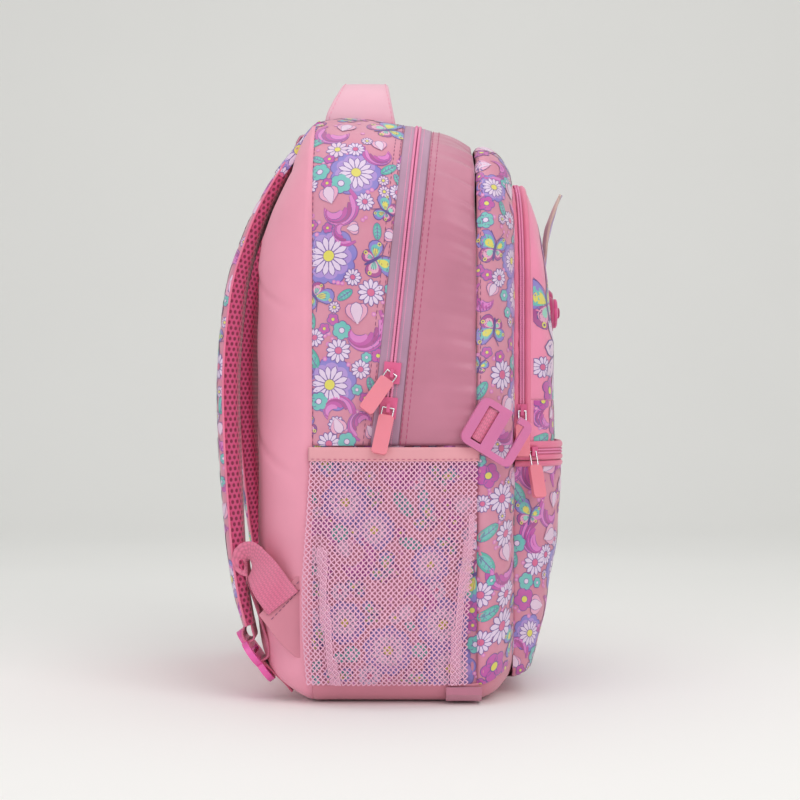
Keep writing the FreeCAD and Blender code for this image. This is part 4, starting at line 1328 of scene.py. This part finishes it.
p = big_picture()
for x, z, R, kind in (
    (-84, 221, 10, "plum"), (-68, 214, 9, "teal"), (-93, 238, 8, "daisy"), (-34, 217, 9, "leaf"),
    (-6, 226, 10, "plum"), (96, 250, 8, "plum")
):
    p.kind(kind, (x, z), R, x)
p.lay("arch_face_print", Face(arch_depth, 214.4, 377, arch_half), "front", ARCH_HINGE)
p = Print()
p.fill(
    -98, 98, 183, 213.6, [("plum", -78, 196, 9.0), ("teal", -62, 192, 8.0), ("swirl", -88, 200, 10.0)],
    77, 1.2
)
p.lay("arch_fold_print", Face(arch_depth, SEAM_Z + 0.5, 213.7, arch_half), "front", FOLD_LID)

# ---------------------------------------------------------------- lower pocket

POCKET = np.array(
    [
        (12, 95, -86), (15, 99, -92), (26, 102, -98.5), (50, 104, -104.5), (76, 105, -110.5),
        (104, 105, -115.5), (135, 105, -118.5), (158, 105, -120), (182, 105, -120)
    ],
    float,
)


def pocket_surface(s, z):
    """s from 0 to 1 round the plan from the left side, over the front, to the right."""
    row = catmull(POCKET, POCKET[:, 0], z)
    half, front = row[..., 1], row[..., 2]
    r = -77.0 - front
    cx = half - r
    lead = np.arcsin(np.clip(5.0 / r, 0, 1))
    arc = (math.pi / 2 - lead) * r
    L = 2 * arc + 2 * cx
    d = np.broadcast_to(s, L.shape) * L
    mirror = d > L / 2
    d = np.where(mirror, L - d, d)
    a = lead + np.minimum(d, arc) / r
    x = np.where(d < arc, -cx - r * np.cos(a), -cx + (d - arc))
    y = np.where(d < arc, -77.0 - r * np.sin(a), front)
    return np.stack([np.where(mirror, -x, x), y, z + 0 * x], -1), L


zs = np.concatenate([np.linspace(12, 30, 14), np.linspace(30, 166.5, 66)[1:]])
ss = np.linspace(0, 1, 130)
P, L = pocket_surface(ss[:, None], np.broadcast_to(zs[None, :], (130, len(zs))))
L0 = float(L[0, -1])
pocket = Patch(
    P, 0.0, L0, zs, groove=(0.5, 0.5), puff=0.0, wrinkle=lambda u, q, d0,
    d1: 0.8 * bumps(u, q, 29, 55) * np.clip(
        np.minimum(d0, d1) / 12, 0, 1
    ) + 1.2 * np.sin(u * 0.11 + 0.4) * np.exp(-(((q - 30) / 22.0) ** 2)) * np.clip(np.minimum(d0, d1) / 12, 0, 1)
)
cloth_piece("lower_pocket_cloth", pocket, PRINT, "bag", CORAL, 1.4, ("lower_pocket",))
placed_pocket = [
    ("butterfly", 13, 130.1, 14.0, 1.3),
    ("swirl", 24, 111.8, 17.0, 1.2),
    ("daisy", 18, 95.7, 10.0),
    ("daisy", 30, 100.9, 8.0),
    ("plum", 9, 69.5, 8.5),
    ("blossom", 14, 44.6, 13.0),
    ("teal", 22, 27.8, 7.0),
    ("swirl_", 75, 120, 26.0, 0.6),
    ("blossom", 120, 140, 20.0, 0.1),
    ("butterfly", 150, 90, 20.0, 0.9),
    ("blossom", 90, 60, 19.0, 0.1),
]
p = Print()
p.fill(0, L0, 12, 167, placed_pocket, 90)
p.lay("lower_pocket_print", pocket, "bag")


def pocket_ring(z, out, n=150, s0=0.004, s1=0.996):
    s = np.linspace(s0, s1, n)
    P, _ = pocket_surface(s, np.full(n, z))
    d = np.gradient(P, axis=0)
    N = np.stack([-d[:, 1], d[:, 0], 0 * d[:, 0]], 1)
    N /= np.linalg.norm(N, axis=1, keepdims=True)
    if N[n // 2, 1] > 0:
        N = -N
    return P + N * out, N


def pocket_band(name, z0, z1, puff, mat, body="bag", nodes=()):
    q = np.linspace(z0, z1, 9)
    rows = []
    for k, z in enumerate(q):
        Pz, _ = pocket_ring(min(z, 181.8), puff * math.sin(math.pi * k / 8) ** 0.7, 150)
        Pz[:, 2] = z
        rows.append(Pz)
    P = np.array(rows)
    faces = grid_faces(*P.shape[:2], facing(P, np.broadcast_to([0, -1.0, 0], P.shape)))
    ob = make(name, P.reshape(-1, 3), faces, mat)
    solid(ob, 1.0)
    attach(ob, body, nodes)


pocket_band("pocket_top_cloth", 178.6, 184.2, 1.5, M["piping"])
pocket_band("pocket_welt_low", 170.2, 174.6, 1.5, M["piping"], nodes=("pocket_welts",))
pocket_band("pocket_welt_base", 165.6, 170.0, 1.4, M["piping"])
pocket_band("pocket_zip_tape", 173.8, 179.4, 0.1, M["tape_pink"])
for name, z in (("pocket_coil_upper", 177.9), ("pocket_coil_lower", 175.7)):
    P, N = pocket_ring(z, 0.5)
    up = np.broadcast_to([0, 0, 1.0], P.shape)
    coil(name, P, N, up, "bag", ("pocket_coils",), r=0.95)

# The pocket's underside
P, _ = pocket_surface(np.linspace(0, 1, 90)[None, :], np.full((1, 90), 12.0))
inner = P[0] * np.array([0.9, 1, 1])
inner[:, 1], inner[:, 2] = -76.0, 11.0
under = np.array([P[0], inner])
ob = make(
    "lower_pocket_underside", under.reshape(-1, 3), grid_faces(2, 90), PRINT, inks=np.tile(CORAL, (89, 1))
)
attach(ob, "bag", ())

# ---------------------------------------------------------------- mesh side pockets


def mesh_reach(z):
    return np.interp(z, [14, 20, 34, 60, 120, 152, 171, 181], [3.5, 9, 17.5, 20.5, 14.0, 7.4, 6.4, 6.2])


def mesh_point(f, z):
    """f from 0 at the front seam to 1 at the rear seam."""
    y0 = np.interp(z, [14, 50, 85, 120, 171], [-48.5, -48.0, -51.0, -54.5, -55.5])
    y1 = np.interp(z, [14, 50, 85, 120, 171], [66.5, 69.5, 70.0, 67.5, 64.0])
    y = y0 + f * (y1 - y0)
    pleat = 2.2 * np.exp(-(((f - np.interp(z, [14, 112], [0.85, 0.93])) / 0.025) ** 2))
    pleat = pleat + 1.8 * np.exp(-(((f - np.interp(z, [14, 135], [0.14, 0.07])) / 0.025) ** 2))
    pleat = (pleat + 1.6 * np.exp(-(((f - 0.46) / 0.03) ** 2))) * np.clip((168 - z) / 60, 0, 1)
    shape = np.clip(4 * f * (1 - f), 0, 1) ** 0.75
    reach = 0.7 + mesh_reach(z) * shape - pleat + 0.8 * bumps(y, z, 37, 42) * shape * np.clip((168 - z) / 40, 0, 1)
    return np.stack([-142.2 - np.maximum(reach, 0.6), y + 0 * z, z + 0 * y], -1)


def net(word, flip):
    """Knotted diamonds: two families of fine yarn crossing, as thin four-sided cords."""
    verts, faces = [], []
    W, H, pitch = 117.0, 158.0, 3.6
    r = 0.43

    def yarn(f, z, out):
        nonlocal verts
        P = mesh_point(f, z) - np.array([out, 0, 0])
        d = np.gradient(P, axis=0)
        d /= np.maximum(np.linalg.norm(d, axis=1, keepdims=True), 1e-9)
        N = np.array([-1.0, 0, 0])
        sd = np.cross(d, N)
        sd /= np.maximum(np.linalg.norm(sd, axis=1, keepdims=True), 1e-9)
        ring = np.stack([P + sd * r, P + N * r * 0.8, P - sd * r, P - N * r * 0.8], 1)
        o, n = len(verts), len(P)
        verts += ring.reshape(-1, 3).tolist()
        for i in range(n - 1):
            for j in range(4):
                k = (j + 1) % 4
                a = o + i * 4
                faces.append([a + j, a + k, a + 4 + k, a + 4 + j])

    slope = 1.15
    for sgn in (1, -1):
        for c in np.arange(-H / slope, W + H / slope, pitch):
            step = np.arange(0, H + 0.01, pitch * slope / 2 * (1))
            z = 14.0 + step
            y = c + sgn * step / slope
            wob = 0.42 * np.where(np.arange(len(step)) % 2 == 0, 1, -1)
            ok = (y >= 0) & (y <= W)
            if ok.sum() < 2:
                continue
            f = (y + wob).clip(0, W) / W
            yarn(f[ok], z[ok], 0.0)
            for low_f, high_f, top in ((0.81, 0.89, 112.0), (0.09, 0.03, 135.0)):
                mid = np.interp(z, [14, top], [low_f, high_f])
                band = ok & (np.abs(f + 0.5 * pitch / W - mid) < 0.035) & (z < top)
                if band.sum() > 1:
                    yarn((f + 0.5 * pitch / W)[band], z[band], 0.9)
    verts = np.array(verts)
    verts[:, 0] *= flip
    ob = make("mesh_pocket_" + word + "_net", verts, faces, M["net"], smooth=False)
    attach(ob, "bag", ("mesh_pocket_" + word,))


def binding(word, flip):
    f = np.linspace(0, 1, 90)
    section = flat_section(10.0, 1.6)
    mid = mesh_point(f, np.full(90, 176.0))
    mid = mid * np.array([flip, 1, 1])
    sweep(
        "pocket_binding_" + word + "_tape", mid, np.broadcast_to([0, 0, 1.0], mid.shape), M["binding"],
        section, "bag", ("pocket_binding_" + word,)
    )
    low = mesh_point(f, np.full(90, 172.6)) + np.array([-0.95, 0, 0])
    low = low * np.array([flip, 1, 1])
    stitches(
        "pocket_binding_" + word + "_stitches", [(low, np.broadcast_to([-flip, 0, 0.0], low.shape))],
        M["thread"], "bag", 2.4, 1.6, 0.22
    )


for word, flip in (("left", 1), ("right", -1)):
    net(word, flip)
    binding(word, flip)

# ---------------------------------------------------------------- handle, straps and webbing


def handle():
    rows = [
        (-57, 420.0, 54), (-57, 425.5, 52), (-54.0, 434.0, 47), (-46, 445.0, 40), (-32, 453.0, 36),
        (-12, 455.6, 35)
    ]
    rows += [(-x, z, w) for x, z, w in rows[::-1]]
    line = smooth_line([(x, 26.5 + (w - 35) * 0.18, z, w) for x, z, w in rows], 90)
    width = line[:, 3]
    f = lambda k: flat_section(float(np.interp(k * 89, np.arange(90), width)), 4.6, 0.8, 9)(k)
    ob = sweep(
        "grab_handle_cloth", line[:, :3], np.broadcast_to([0, 1.0, 0], (90, 3)), M["handle"], f, "bag",
        ("grab_handle",)
    )
    for s in (-1, 1):
        d = line[:, :3] + np.stack([0 * width, s * (width / 2 - 2.6), 0 * width], 1)
        out = np.cross(np.broadcast_to([0, 1.0, 0], d.shape), np.gradient(d, axis=0))
        out /= np.linalg.norm(out, axis=1, keepdims=True)
        if out[45, 2] < 0:
            out = -out
        stitches(
            "grab_handle_stitches_" + ("rear" if s > 0 else "front"), [(d + out * 2.45, out)],
            M["pale_thread"], "bag"
        )


handle()

STRAP = [
    (86.0, 389.5, 62, 56, 8.0),
    (97.0, 373.0, 64, 60, 8.5),
    (109.0, 352.0, 67, 64, 9.5),
    (119.0, 329.0, 70, 66, 10.5),
    (126.0, 308.0, 73, 66, 11.5),
    (132.0, 268.0, 79, 66, 12.0),
    (134.0, 228.0, 85, 66, 12.0),
    (132.5, 185.0, 91, 64, 12.0),
    (129.0, 142.0, 97, 60, 11.5),
    (124.0, 99.0, 103, 54, 10.5),
    (119.0, 72.0, 106, 48, 9.5),
    (113.0, 52.0, 108, 40, 8.0),
]


def strap(word, flip):
    rows = np.array(STRAP, float)
    line = smooth_line([(-x, y, z, w, t) for y, z, x, w, t in rows], 150)
    d = np.gradient(line[:, :3], axis=0)
    d[:, 0] = 0
    d /= np.linalg.norm(d, axis=1, keepdims=True)
    out = np.cross(d, [1.0, 0, 0])
    if out[75, 1] < 0:
        out = -out
    turn = math.radians(4.5) * np.clip(np.arange(150) / 30.0, 0, 1)[:, None]
    across = np.broadcast_to([1.0, 0, 0], out.shape) * np.cos(turn) + out * np.sin(turn)
    grow = 1.0 + 0.36 * np.sin(np.linspace(0.15, math.pi - 0.1, 150)) ** 0.7
    line[:, 4] *= grow
    mid = line[:, :3] - out * (line[:, 4:5] / 2)
    out = out * np.cos(turn) - np.array([1.0, 0, 0]) * np.sin(turn)

    def ring(i, kind):
        w, t = line[i, 3] / 2, line[i, 4] / 2
        if kind == "print":
            a = np.linspace(0.22, math.pi - 0.22, 34)
        else:
            a = np.linspace(math.pi - 0.22, 2 * math.pi + 0.22, 48)
        c, s = np.cos(a), np.sin(a)
        x = w * np.sign(c) * np.abs(c) ** 0.32
        z = t * np.sign(s) * np.abs(s) ** 0.55
        x = np.where(kind == "air", x * 0.995, x)
        return mid[i] + across[i] * x[:, None] + out[i] * z[:, None]

    run = run_along(line[:, :3])
    body = "shoulder_strap_" + word
    P = np.array([ring(i, "print") for i in range(150)]).transpose(1, 0, 2)
    girth = run_along(P[:, 75])
    full = girth[-1]
    f = np.linspace(0, 1, P.shape[0])
    patch = Patch.__new__(Patch)
    patch.P = P * np.array([flip, 1, 1])
    patch.qs = run
    patch.ua, patch.ub = np.zeros(150), np.full(150, full)
    patch.N = normals(patch.P)
    centre = mid * np.array([flip, 1, 1])
    if np.sum(patch.N * (patch.P - centre[None])) < 0:
        patch.N = -patch.N
    ob = cloth_piece(
        "strap_" + word + "_print_cloth", patch, PRINT, body, CORAL, 0.8, ("strap_" + word,),
    )
    # the grid is even in angle, so place motifs by their share of the girth
    pr = Print()
    pr.fill(0, full, 2, run[-1] - 2, [], 60 + flip)
    share = girth / full
    pts = pr.pts
    pr.pts = [np.stack([np.interp(b[:, 0] / full, share, f) * full, b[:, 1]], 1) for b in pts]
    pr.lay("strap_" + word + "_print", patch, body)
    A = np.array([ring(i, "air") for i in range(150)])
    g = np.concatenate(
        [np.zeros((150, 1)), np.cumsum(np.linalg.norm(np.diff(A, axis=1), axis=2), axis=1)], 1
    )
    A = A * np.array([flip, 1, 1])
    web = np.stack([g, np.broadcast_to(run[:, None], g.shape)], -1)
    faces = grid_faces(150, A.shape[1], False)
    n = np.cross(A[76, 20] - A[75, 20], A[75, 21] - A[75, 20])
    if np.dot(n, A[75, 20] - centre[75]) < 0:
        faces = [q[::-1] for q in faces]
    ob = make("strap_" + word + "_air_mesh", A.reshape(-1, 3), faces, M["air"], web=web.reshape(-1, 2))
    solid(ob, 0.8)
    attach(ob, body, ())
    caps = []
    for i in (0, 149):
        full_ring = np.concatenate([ring(i, "print"), ring(i, "air")[1:-1]]) * np.array([flip, 1, 1])
        caps.append(full_ring)
    m = len(caps[0])
    ob = make(
        "strap_" + word + "_ends", np.concatenate(caps), [list(range(m)), list(range(m, 2 * m))],
        M["air"], web=np.zeros((2 * m, 2)), smooth=False
    )
    attach(ob, body, ())
    # piping where the printed cloth meets the mesh
    for k in (0, -1):
        edge = np.array([ring(i, "print")[k] for i in range(150)]) * np.array([flip, 1, 1])
        nrm = edge - centre
        nrm /= np.linalg.norm(nrm, axis=1, keepdims=True)
        coil_like(
            edge + nrm * 0.25, "strap_" + word + "_piping_" + ("outer" if k else "inner"), 0.85,
            M["piping"], body
        )


def coil_like(line, name, r, mat, body, nodes=(), blend=None, n=8):
    d = np.gradient(line, axis=0)
    d /= np.linalg.norm(d, axis=1, keepdims=True)
    a1 = np.cross(d, [0.3, 0.2, 1.0])
    a1 /= np.linalg.norm(a1, axis=1, keepdims=True)
    a2 = np.cross(d, a1)
    a = np.linspace(0, 2 * math.pi, n, endpoint=False)
    P = line[:, None] + r * (
        a1[:, None] * np.cos(a)[None, :, None] + a2[:, None] * np.sin(a)[None, :, None]
    )
    ob = make(name, P.reshape(-1, 3), ring_faces(len(line), n), mat)
    attach(ob, body, nodes, blend)
    return ob


for word, flip in (("left", 1), ("right", -1)):
    strap(word, flip)


def webbing(word, flip):
    F = np.array([flip, 1, 1])
    path = [
        ((-140.2, 82.0, 71.0), (0, 0.73, -0.68)),
        ((-140.3, 89.0, 80.0), (0.05, 0.73, -0.68)),
        ((-138.5, 97.0, 92.5), (0.35, 0.7, -0.6)),
        ((-133.0, 103.5, 100.5), (0.75, 0.5, -0.35)),
        ((-125.0, 108.0, 101.0), (1, 0.15, -0.1)),
        ((-117.0, 109.0, 93.0), (1, 0, 0)),
        ((-111.0, 106.5, 79.0), (1, 0, 0)),
        ((-108.5, 102.0, 64.0), (1, 0, 0)),
        ((-108.0, 97.5, 50.0), (1, 0, 0)),
        ((-108.0, 94.0, 38.5), (1, 0, 0)),
        ((-108.0, 95.0, 30.0), (1, 0, 0)),
        ((-108.0, 101.0, 27.5), (1, 0, 0)),
        ((-108.0, 106.0, 33.0), (1, 0, 0)),
    ]
    pts = smooth_line([c + w for c, w in path], 120)
    sec = flat_section(27.0, 1.5, 0.0, 7)
    sweep("adjuster_webbing_" + word + "_web", pts[:, :3] * F, pts[:, 3:] * F, M["web"], sec, None)
    ob = bpy.data.objects["adjuster_webbing_" + word + "_web"]
    attach(
        ob, None, ("adjuster_webbing_" + word,),
        ("bag", "shoulder_strap_" + word, (-0.128 * flip, 0.1, 0.09), (-0.109 * flip, 0.103, 0.04))
    )
    tail = smooth_line(
        [(-108, 103, 30), (-108, 98, 26.5), (-108, 91, 20), (-108, 82, 11.5), (-108, 77, 5.5)], 40
    )
    sweep(
        "webbing_tail_" + word + "_web", tail * F, np.broadcast_to([1.0, 0, 0], tail.shape),
        M["web_shaded"], flat_section(27.0, 1.5, 0.0, 7), "ladder_lock_" + word, ("webbing_tail_" + word,),
    )
    top = smooth_line(
        [
            (-108, 109.5, 60), (-108, 111.5, 52), (-108, 112.5, 46), (-108, 109, 41), (-108, 104.8, 43),
            (-108, 105.5, 50), (-108, 107, 57)
        ],
        40
    )
    sweep(
        "strap_" + word + "_lock_web", top * F, np.broadcast_to([1.0, 0, 0], top.shape), M["web"],
        flat_section(26.0, 1.5, 0.0, 7), "shoulder_strap_" + word, ()
    )
    # wing tab: folded cloth triangle
    corner = np.array(
        [(66.0, 91.0), (73.0, 90.0), (99.5, 62.5), (84.0, 42.0), (74.0, 33.0), (66.0, 31.0)]
    )
    mid = corner.mean(axis=0)
    verts, faces = [], []
    for x, grow in ((-138.9, -0.6), (-138.4, 0.0), (-136.6, 0.0), (-136.1, -0.6)):
        for c in corner:
            d = (c - mid) / np.linalg.norm(c - mid)
            verts.append((x, c[0] + d[0] * grow, c[1] + d[1] * grow))
    m = len(corner)
    for k in range(3):
        faces += [
            [k * m + j, k * m + (j + 1) % m, (k + 1) * m + (j + 1) % m, (k + 1) * m + j] for j in range(m)
        ]
    faces += [list(range(m))[::-1], list(range(3 * m, 4 * m))]
    ob = make("wing_tab_" + word + "_cloth", np.array(verts) * F, faces, M["base"], smooth=False)
    attach(ob, "bag", ("wing_tab_" + word,))
    a, b = np.array([-139.2, 73.0, 90.0]), np.array([-139.2, 99.5, 62.5])
    inward = np.array([0, -0.72, -0.69])
    runs = []
    for off in (4.0, 8.5):
        line = np.array([a + inward * off + (b - a) * f for f in np.linspace(0.02, 0.95, 12)])
        runs.append((line * F, np.broadcast_to([-flip, 0, 0.0], line.shape)))
    stitches("wing_tab_" + word + "_stitches", runs, M["shaded_thread"], "bag", 2.6, 1.2, 0.3)


for word, flip in (("left", 1), ("right", -1)):
    webbing(word, flip)

# Cover over the strap tops


def strap_top(word, flip):
    rows = [
        (59.5, 419.5, 60, 55, 4), (65, 415.0, 60.5, 56, 6.5), (74, 404.5, 61, 57, 8.5),
        (84.5, 391.5, 62, 57.5, 9.5), (92, 381.5, 63, 58, 9.8)
    ]
    line = smooth_line([(-x, y, z, w, t) for y, z, x, w, t in rows], 40)
    d = np.gradient(line[:, :3], axis=0)
    d[:, 0] = 0
    d /= np.linalg.norm(d, axis=1, keepdims=True)
    out = np.cross(d, [1.0, 0, 0])
    if out[20, 1] < 0:
        out = -out
    a = np.linspace(-0.35, math.pi + 0.35, 30)
    x = np.sign(np.cos(a)) * np.abs(np.cos(a)) ** 0.32
    z = np.sign(np.sin(a)) * np.abs(np.sin(a)) ** 0.55
    mid = line[:, :3] - out * (line[:, 4:5] / 2)
    P = mid[None] + np.array([1.0, 0, 0]) * (
        x[:, None, None] * line[None, :, 3:4] / 2
    ) + out[None] * (z[:, None, None] * line[None, :, 4:5] / 2)
    patch = Patch.__new__(Patch)
    patch.P = P * np.array([flip, 1, 1])
    patch.qs = np.linspace(0, 48, 40)
    patch.ua, patch.ub = np.zeros(40), np.full(40, 72.0)
    patch.N = normals(patch.P)
    if np.sum(patch.N * (patch.P - (mid * np.array([flip, 1, 1]))[None])) < 0:
        patch.N = -patch.N
    bl = (
        "bag", "shoulder_strap_" + word, (-0.0605 * flip, 0.068, 0.4105), (-0.063 * flip, 0.090, 0.3845)
    )
    cloth_piece("strap_top_" + word + "_cloth", patch, PRINT, None, CORAL, 1.2, (), bl)
    girth = run_along(P[:, 20])
    pr = Print()
    pr.fill(0, 72, 0, 48, [], 70 + flip)
    even = np.linspace(0, 72, len(girth))
    pr.pts = [np.stack([np.interp(b[:, 0] / 72 * girth[-1], girth, even), b[:, 1]], 1) for b in pr.pts]
    pr.lay("strap_top_" + word + "_print", patch, None, bl)


strap_top("left", 1)
strap_top("right", -1)
lift = 3.4
t = np.linspace(4.86, 7.14, 90)


def yoke_points(u):
    row = catmull(REAR, REAR_RUN, u)
    row[:, 1] += lift
    row[:, 3] += lift
    P = loop_points(row[:, None, :], t[None, :])
    P[..., 1] += lift * 0.6
    return P


u = np.linspace(10.0, 34.0, 14)
column = yoke_points(u)[:, 45]
girth = run_along(column)
P = yoke_points(np.interp(np.linspace(0, girth[-1], 14), girth, u))
yoke = Patch(
    P, 0.0, girth[-1], np.linspace(0, 220, 90), groove=(2.6, 2.6), puff=1.0, wrinkle=loose(51, 0.4, 30)
)
cloth_piece("strap_yoke_cloth", yoke, PRINT, "bag", CORAL, 1.4, ("strap_yoke",))
p = Print()
p.fill(0, girth[-1], 0, 220, [], 52)
p.lay("strap_yoke_print", yoke, "bag")

# ---------------------------------------------------------------- hard parts: CAD with softened edges


def finish_cad(node, mat, bevel=0.0, segments=3):
    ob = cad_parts[node]
    if bevel:
        mod = ob.modifiers.new("edge", "BEVEL")
        mod.width = bevel * MM
        mod.segments = segments
        mod.limit_method = "ANGLE"
        mod.angle_limit = math.radians(40)
    ob.data.materials.clear()
    ob.data.materials.append(mat)
    return ob


for node in ("hook_buckle_left", "hook_buckle_right"):
    finish_cad(node, M["buckle"], 1.1)
for node in ("flower_lock_left", "flower_lock_right"):
    finish_cad(node, M["flower"], 1.0)
for node in ("upper_slider", "lower_slider", "arch_slider", "pocket_slider"):
    finish_cad(node, M["slider"], 0.45)
for node in ("upper_ring", "lower_ring", "arch_ring", "pocket_ring"):
    finish_cad(node, M["wire"])
for node in ("upper_tag", "lower_tag", "arch_tag", "pocket_tag"):
    finish_cad(node, M["tag"], 0.5)
finish_cad("base_board", M["board"], 0.4)
for node in ("divider", "back_lining"):
    finish_cad(node, M["lining"])
finish_cad("back_foam", M["foam"])
for node in ("hook_tabs", "base_loops"):
    finish_cad(node, M["plain"])


def leaf_piece():
    """Pointed felt leaf that curls forward: coloured front, plain felt back."""
    v = np.linspace(0, 1, 26)
    u = np.linspace(-1, 1, 21)
    half = 17.5 * np.sin(math.pi * (0.10 + 0.86 * v)) ** 0.75
    z = 317.5 + 55.5 * v
    y = np.interp(v, [0, 0.3, 0.6, 0.85, 1.0], [-111.4, -113.2, -116.4, -120.6, -124.6])
    y = catmull(np.stack([y], 1), v, v)[:, 0]
    U, V = np.meshgrid(u, v, indexing="ij")
    X = -14.0 + U * half[None, :]
    Y = y[None, :] - 1.6 * (1 - U**2) + 0.5 * np.sin(9 * V + 3 * U)
    Z = z[None, :] - 2.0 * U**2
    Z = np.minimum(Z, 373.6)
    P = np.stack([X, Y, Z + 0 * X], -1)
    ob = make(
        "leaf_flap_felt", P.reshape(-1, 3),
        grid_faces(21, 26, facing(P, np.broadcast_to([0, -1.0, 0], P.shape))), [M["glitter"], M["felt"]]
    )
    mod = solid(ob, 2.2).modifiers[0]
    mod.material_offset = 1
    mod.material_offset_rim = 1
    attach(ob, "leaf", ("leaf_flap",))


def flower_piece(name, c, R, y0, y1, lobes, mat, turn=0.3):
    """Padded flower, flat behind and domed in front, facing -Y."""
    th = np.linspace(0, 2 * math.pi, 72, endpoint=False)
    rim = R * (0.80 + 0.20 * np.abs(np.cos(lobes * (th - turn) / 2)) ** 0.6)
    verts, n = [], len(th)
    for f, y in (
        (0.90, y0), (1.0, y0 - 0.3 * (y0 - y1)), (0.97, y0 - 0.7 * (y0 - y1)), (0.85, y1 + 0.5),
        (0.55, y1), (0.33, y1 + 1.0), (0.0, y1 + 1.2)
    ):
        verts += [
            (c[0] + rim[k] * f * math.cos(th[k]), y, c[1] + rim[k] * f * math.sin(th[k]))
            for k in range(n)
        ]
    m = 7
    i, j = np.meshgrid(np.arange(n), np.arange(m - 1), indexing="ij")
    k = (i + 1) % n
    faces = np.stack([j * n + i, (j + 1) * n + i, (j + 1) * n + k, j * n + k], -1).reshape(-1, 4).tolist()
    ob = make(name, verts, faces + [list(range(n))], mat)
    return ob


leaf_piece()
attach(
    flower_piece("flower_applique_petals", (18, 283), 18.8, -112.6, -121.5, 5, M["petal"]), "arch_panel",
    ("flower_applique",)
)
attach(
    flower_piece("flower_applique_top", (18, 283), 12.0, -121.0, -125.0, 5, M["petal_top"], turn=0.9),
    "arch_panel", ()
)
attach(
    flower_piece("flower_applique_eye", (18, 283), 4.5, -124.0, -127.0, 1, M["petal"]), "arch_panel", (),
)


def hook_webbing(word, flip):
    """The folded webbing seen in the hook buckle's first slot."""
    a, b = math.radians(-59), math.radians(9)
    Rx = np.array([[1, 0, 0], [0, math.cos(a), -math.sin(a)], [0, math.sin(a), math.cos(a)]])
    Rz = np.array([[math.cos(b), -math.sin(b), 0], [math.sin(b), math.cos(b), 0], [0, 0, 1]])
    path = np.array(
        [
            (3.4, 0, 3.6), (1.6, 0, 5.0), (-0.6, 0, 7.2), (-1.2, 0, 9.8), (-0.6, 0, 12.4), (1.6, 0, 14.4),
            (3.4, 0, 15.6)
        ]
    )
    path = smooth_line(path - np.array([0, 0, 9.75]), 24)
    line = path @ (Rz @ Rx).T + np.array([-147.2, -59.0, 196.5])
    across = np.broadcast_to(Rz @ Rx @ np.array([0, 1.0, 0]), line.shape)
    F = np.array([flip, 1, 1])
    sweep(
        "hook_webbing_" + word, line * F, across * F, M["web"], flat_section(24.6, 1.3, 0, 7),
        "hook_" + word, ()
    )


hook_webbing("left", 1)
hook_webbing("right", -1)

# ---------------------------------------------------------------- studio


def studio():
    world = bpy.data.worlds.new("studio") if not bpy.context.scene.world else bpy.context.scene.world
    bpy.context.scene.world = world
    world.use_nodes = True
    bg = world.node_tree.nodes["Background"]
    bg.inputs[0].default_value = srgb(236, 236, 234)
    bg.inputs[1].default_value = 0.56
    verts = []
    prof = [(-3.5, 0.0), (1.4, 0.0)]
    for a in np.linspace(0, math.pi / 2, 14)[1:]:
        prof.append((1.4 + 0.8 * math.sin(a), 0.8 - 0.8 * math.cos(a)))
    prof.append((2.2, 4.0))
    for s, z in prof:
        for w in (-5.0, 5.0):
            verts.append((s, w, z))
    n = len(prof)
    faces = [[2 * i, 2 * i + 2, 2 * i + 3, 2 * i + 1] for i in range(n - 1)]
    mat = Nodes("backdrop")
    grey = mat.mix(mat.ramp(mat.noise(3.0), 0.0, 1.0), srgb(246, 246, 244), srgb(249, 249, 247))
    mat.surface(grey, 0.8)
    me = bpy.data.meshes.new("backdrop")
    me.from_pydata([(x, y, z - 0.001) for x, y, z in verts], [], faces)
    for poly in me.polygons:
        poly.use_smooth = True
    ob = bpy.data.objects.new("backdrop", me)
    me.materials.append(mat.mat)
    bpy.context.scene.collection.objects.link(ob)
    for name, where, size, power, color in (
        ("key", (-1.5, -0.9, 1.5), 1.4, 15, (1.0, 0.98, 0.96)),
        ("fill", (-1.6, 1.3, 0.9), 1.6, 9, (0.97, 0.98, 1.0)),
        ("top", (0.0, 0.0, 1.9), 1.6, 10, (1.0, 1.0, 1.0)),
    ):
        data = bpy.data.lights.new(name, "AREA")
        data.size, data.energy, data.color = size, power, color
        light = bpy.data.objects.new(name, data)
        light.location = where
        light.rotation_euler = (Vector((0, 0, 0.2)) - Vector(where)).to_track_quat("-Z", "Y").to_euler()
        bpy.context.scene.collection.objects.link(light)


studio()
cam_data = bpy.data.cameras.new("camera")
cam_data.sensor_width = 36.0
cam_data.lens = 77.4
camera = bpy.data.objects.new("camera", cam_data)
camera.location = (-1.35, 0.0, 0.214)
camera.rotation_euler = (math.radians(90), 0, math.radians(-90))
bpy.context.scene.collection.objects.link(camera)
bpy.context.scene.camera = camera
bpy.context.scene.view_settings.view_transform = "Standard"
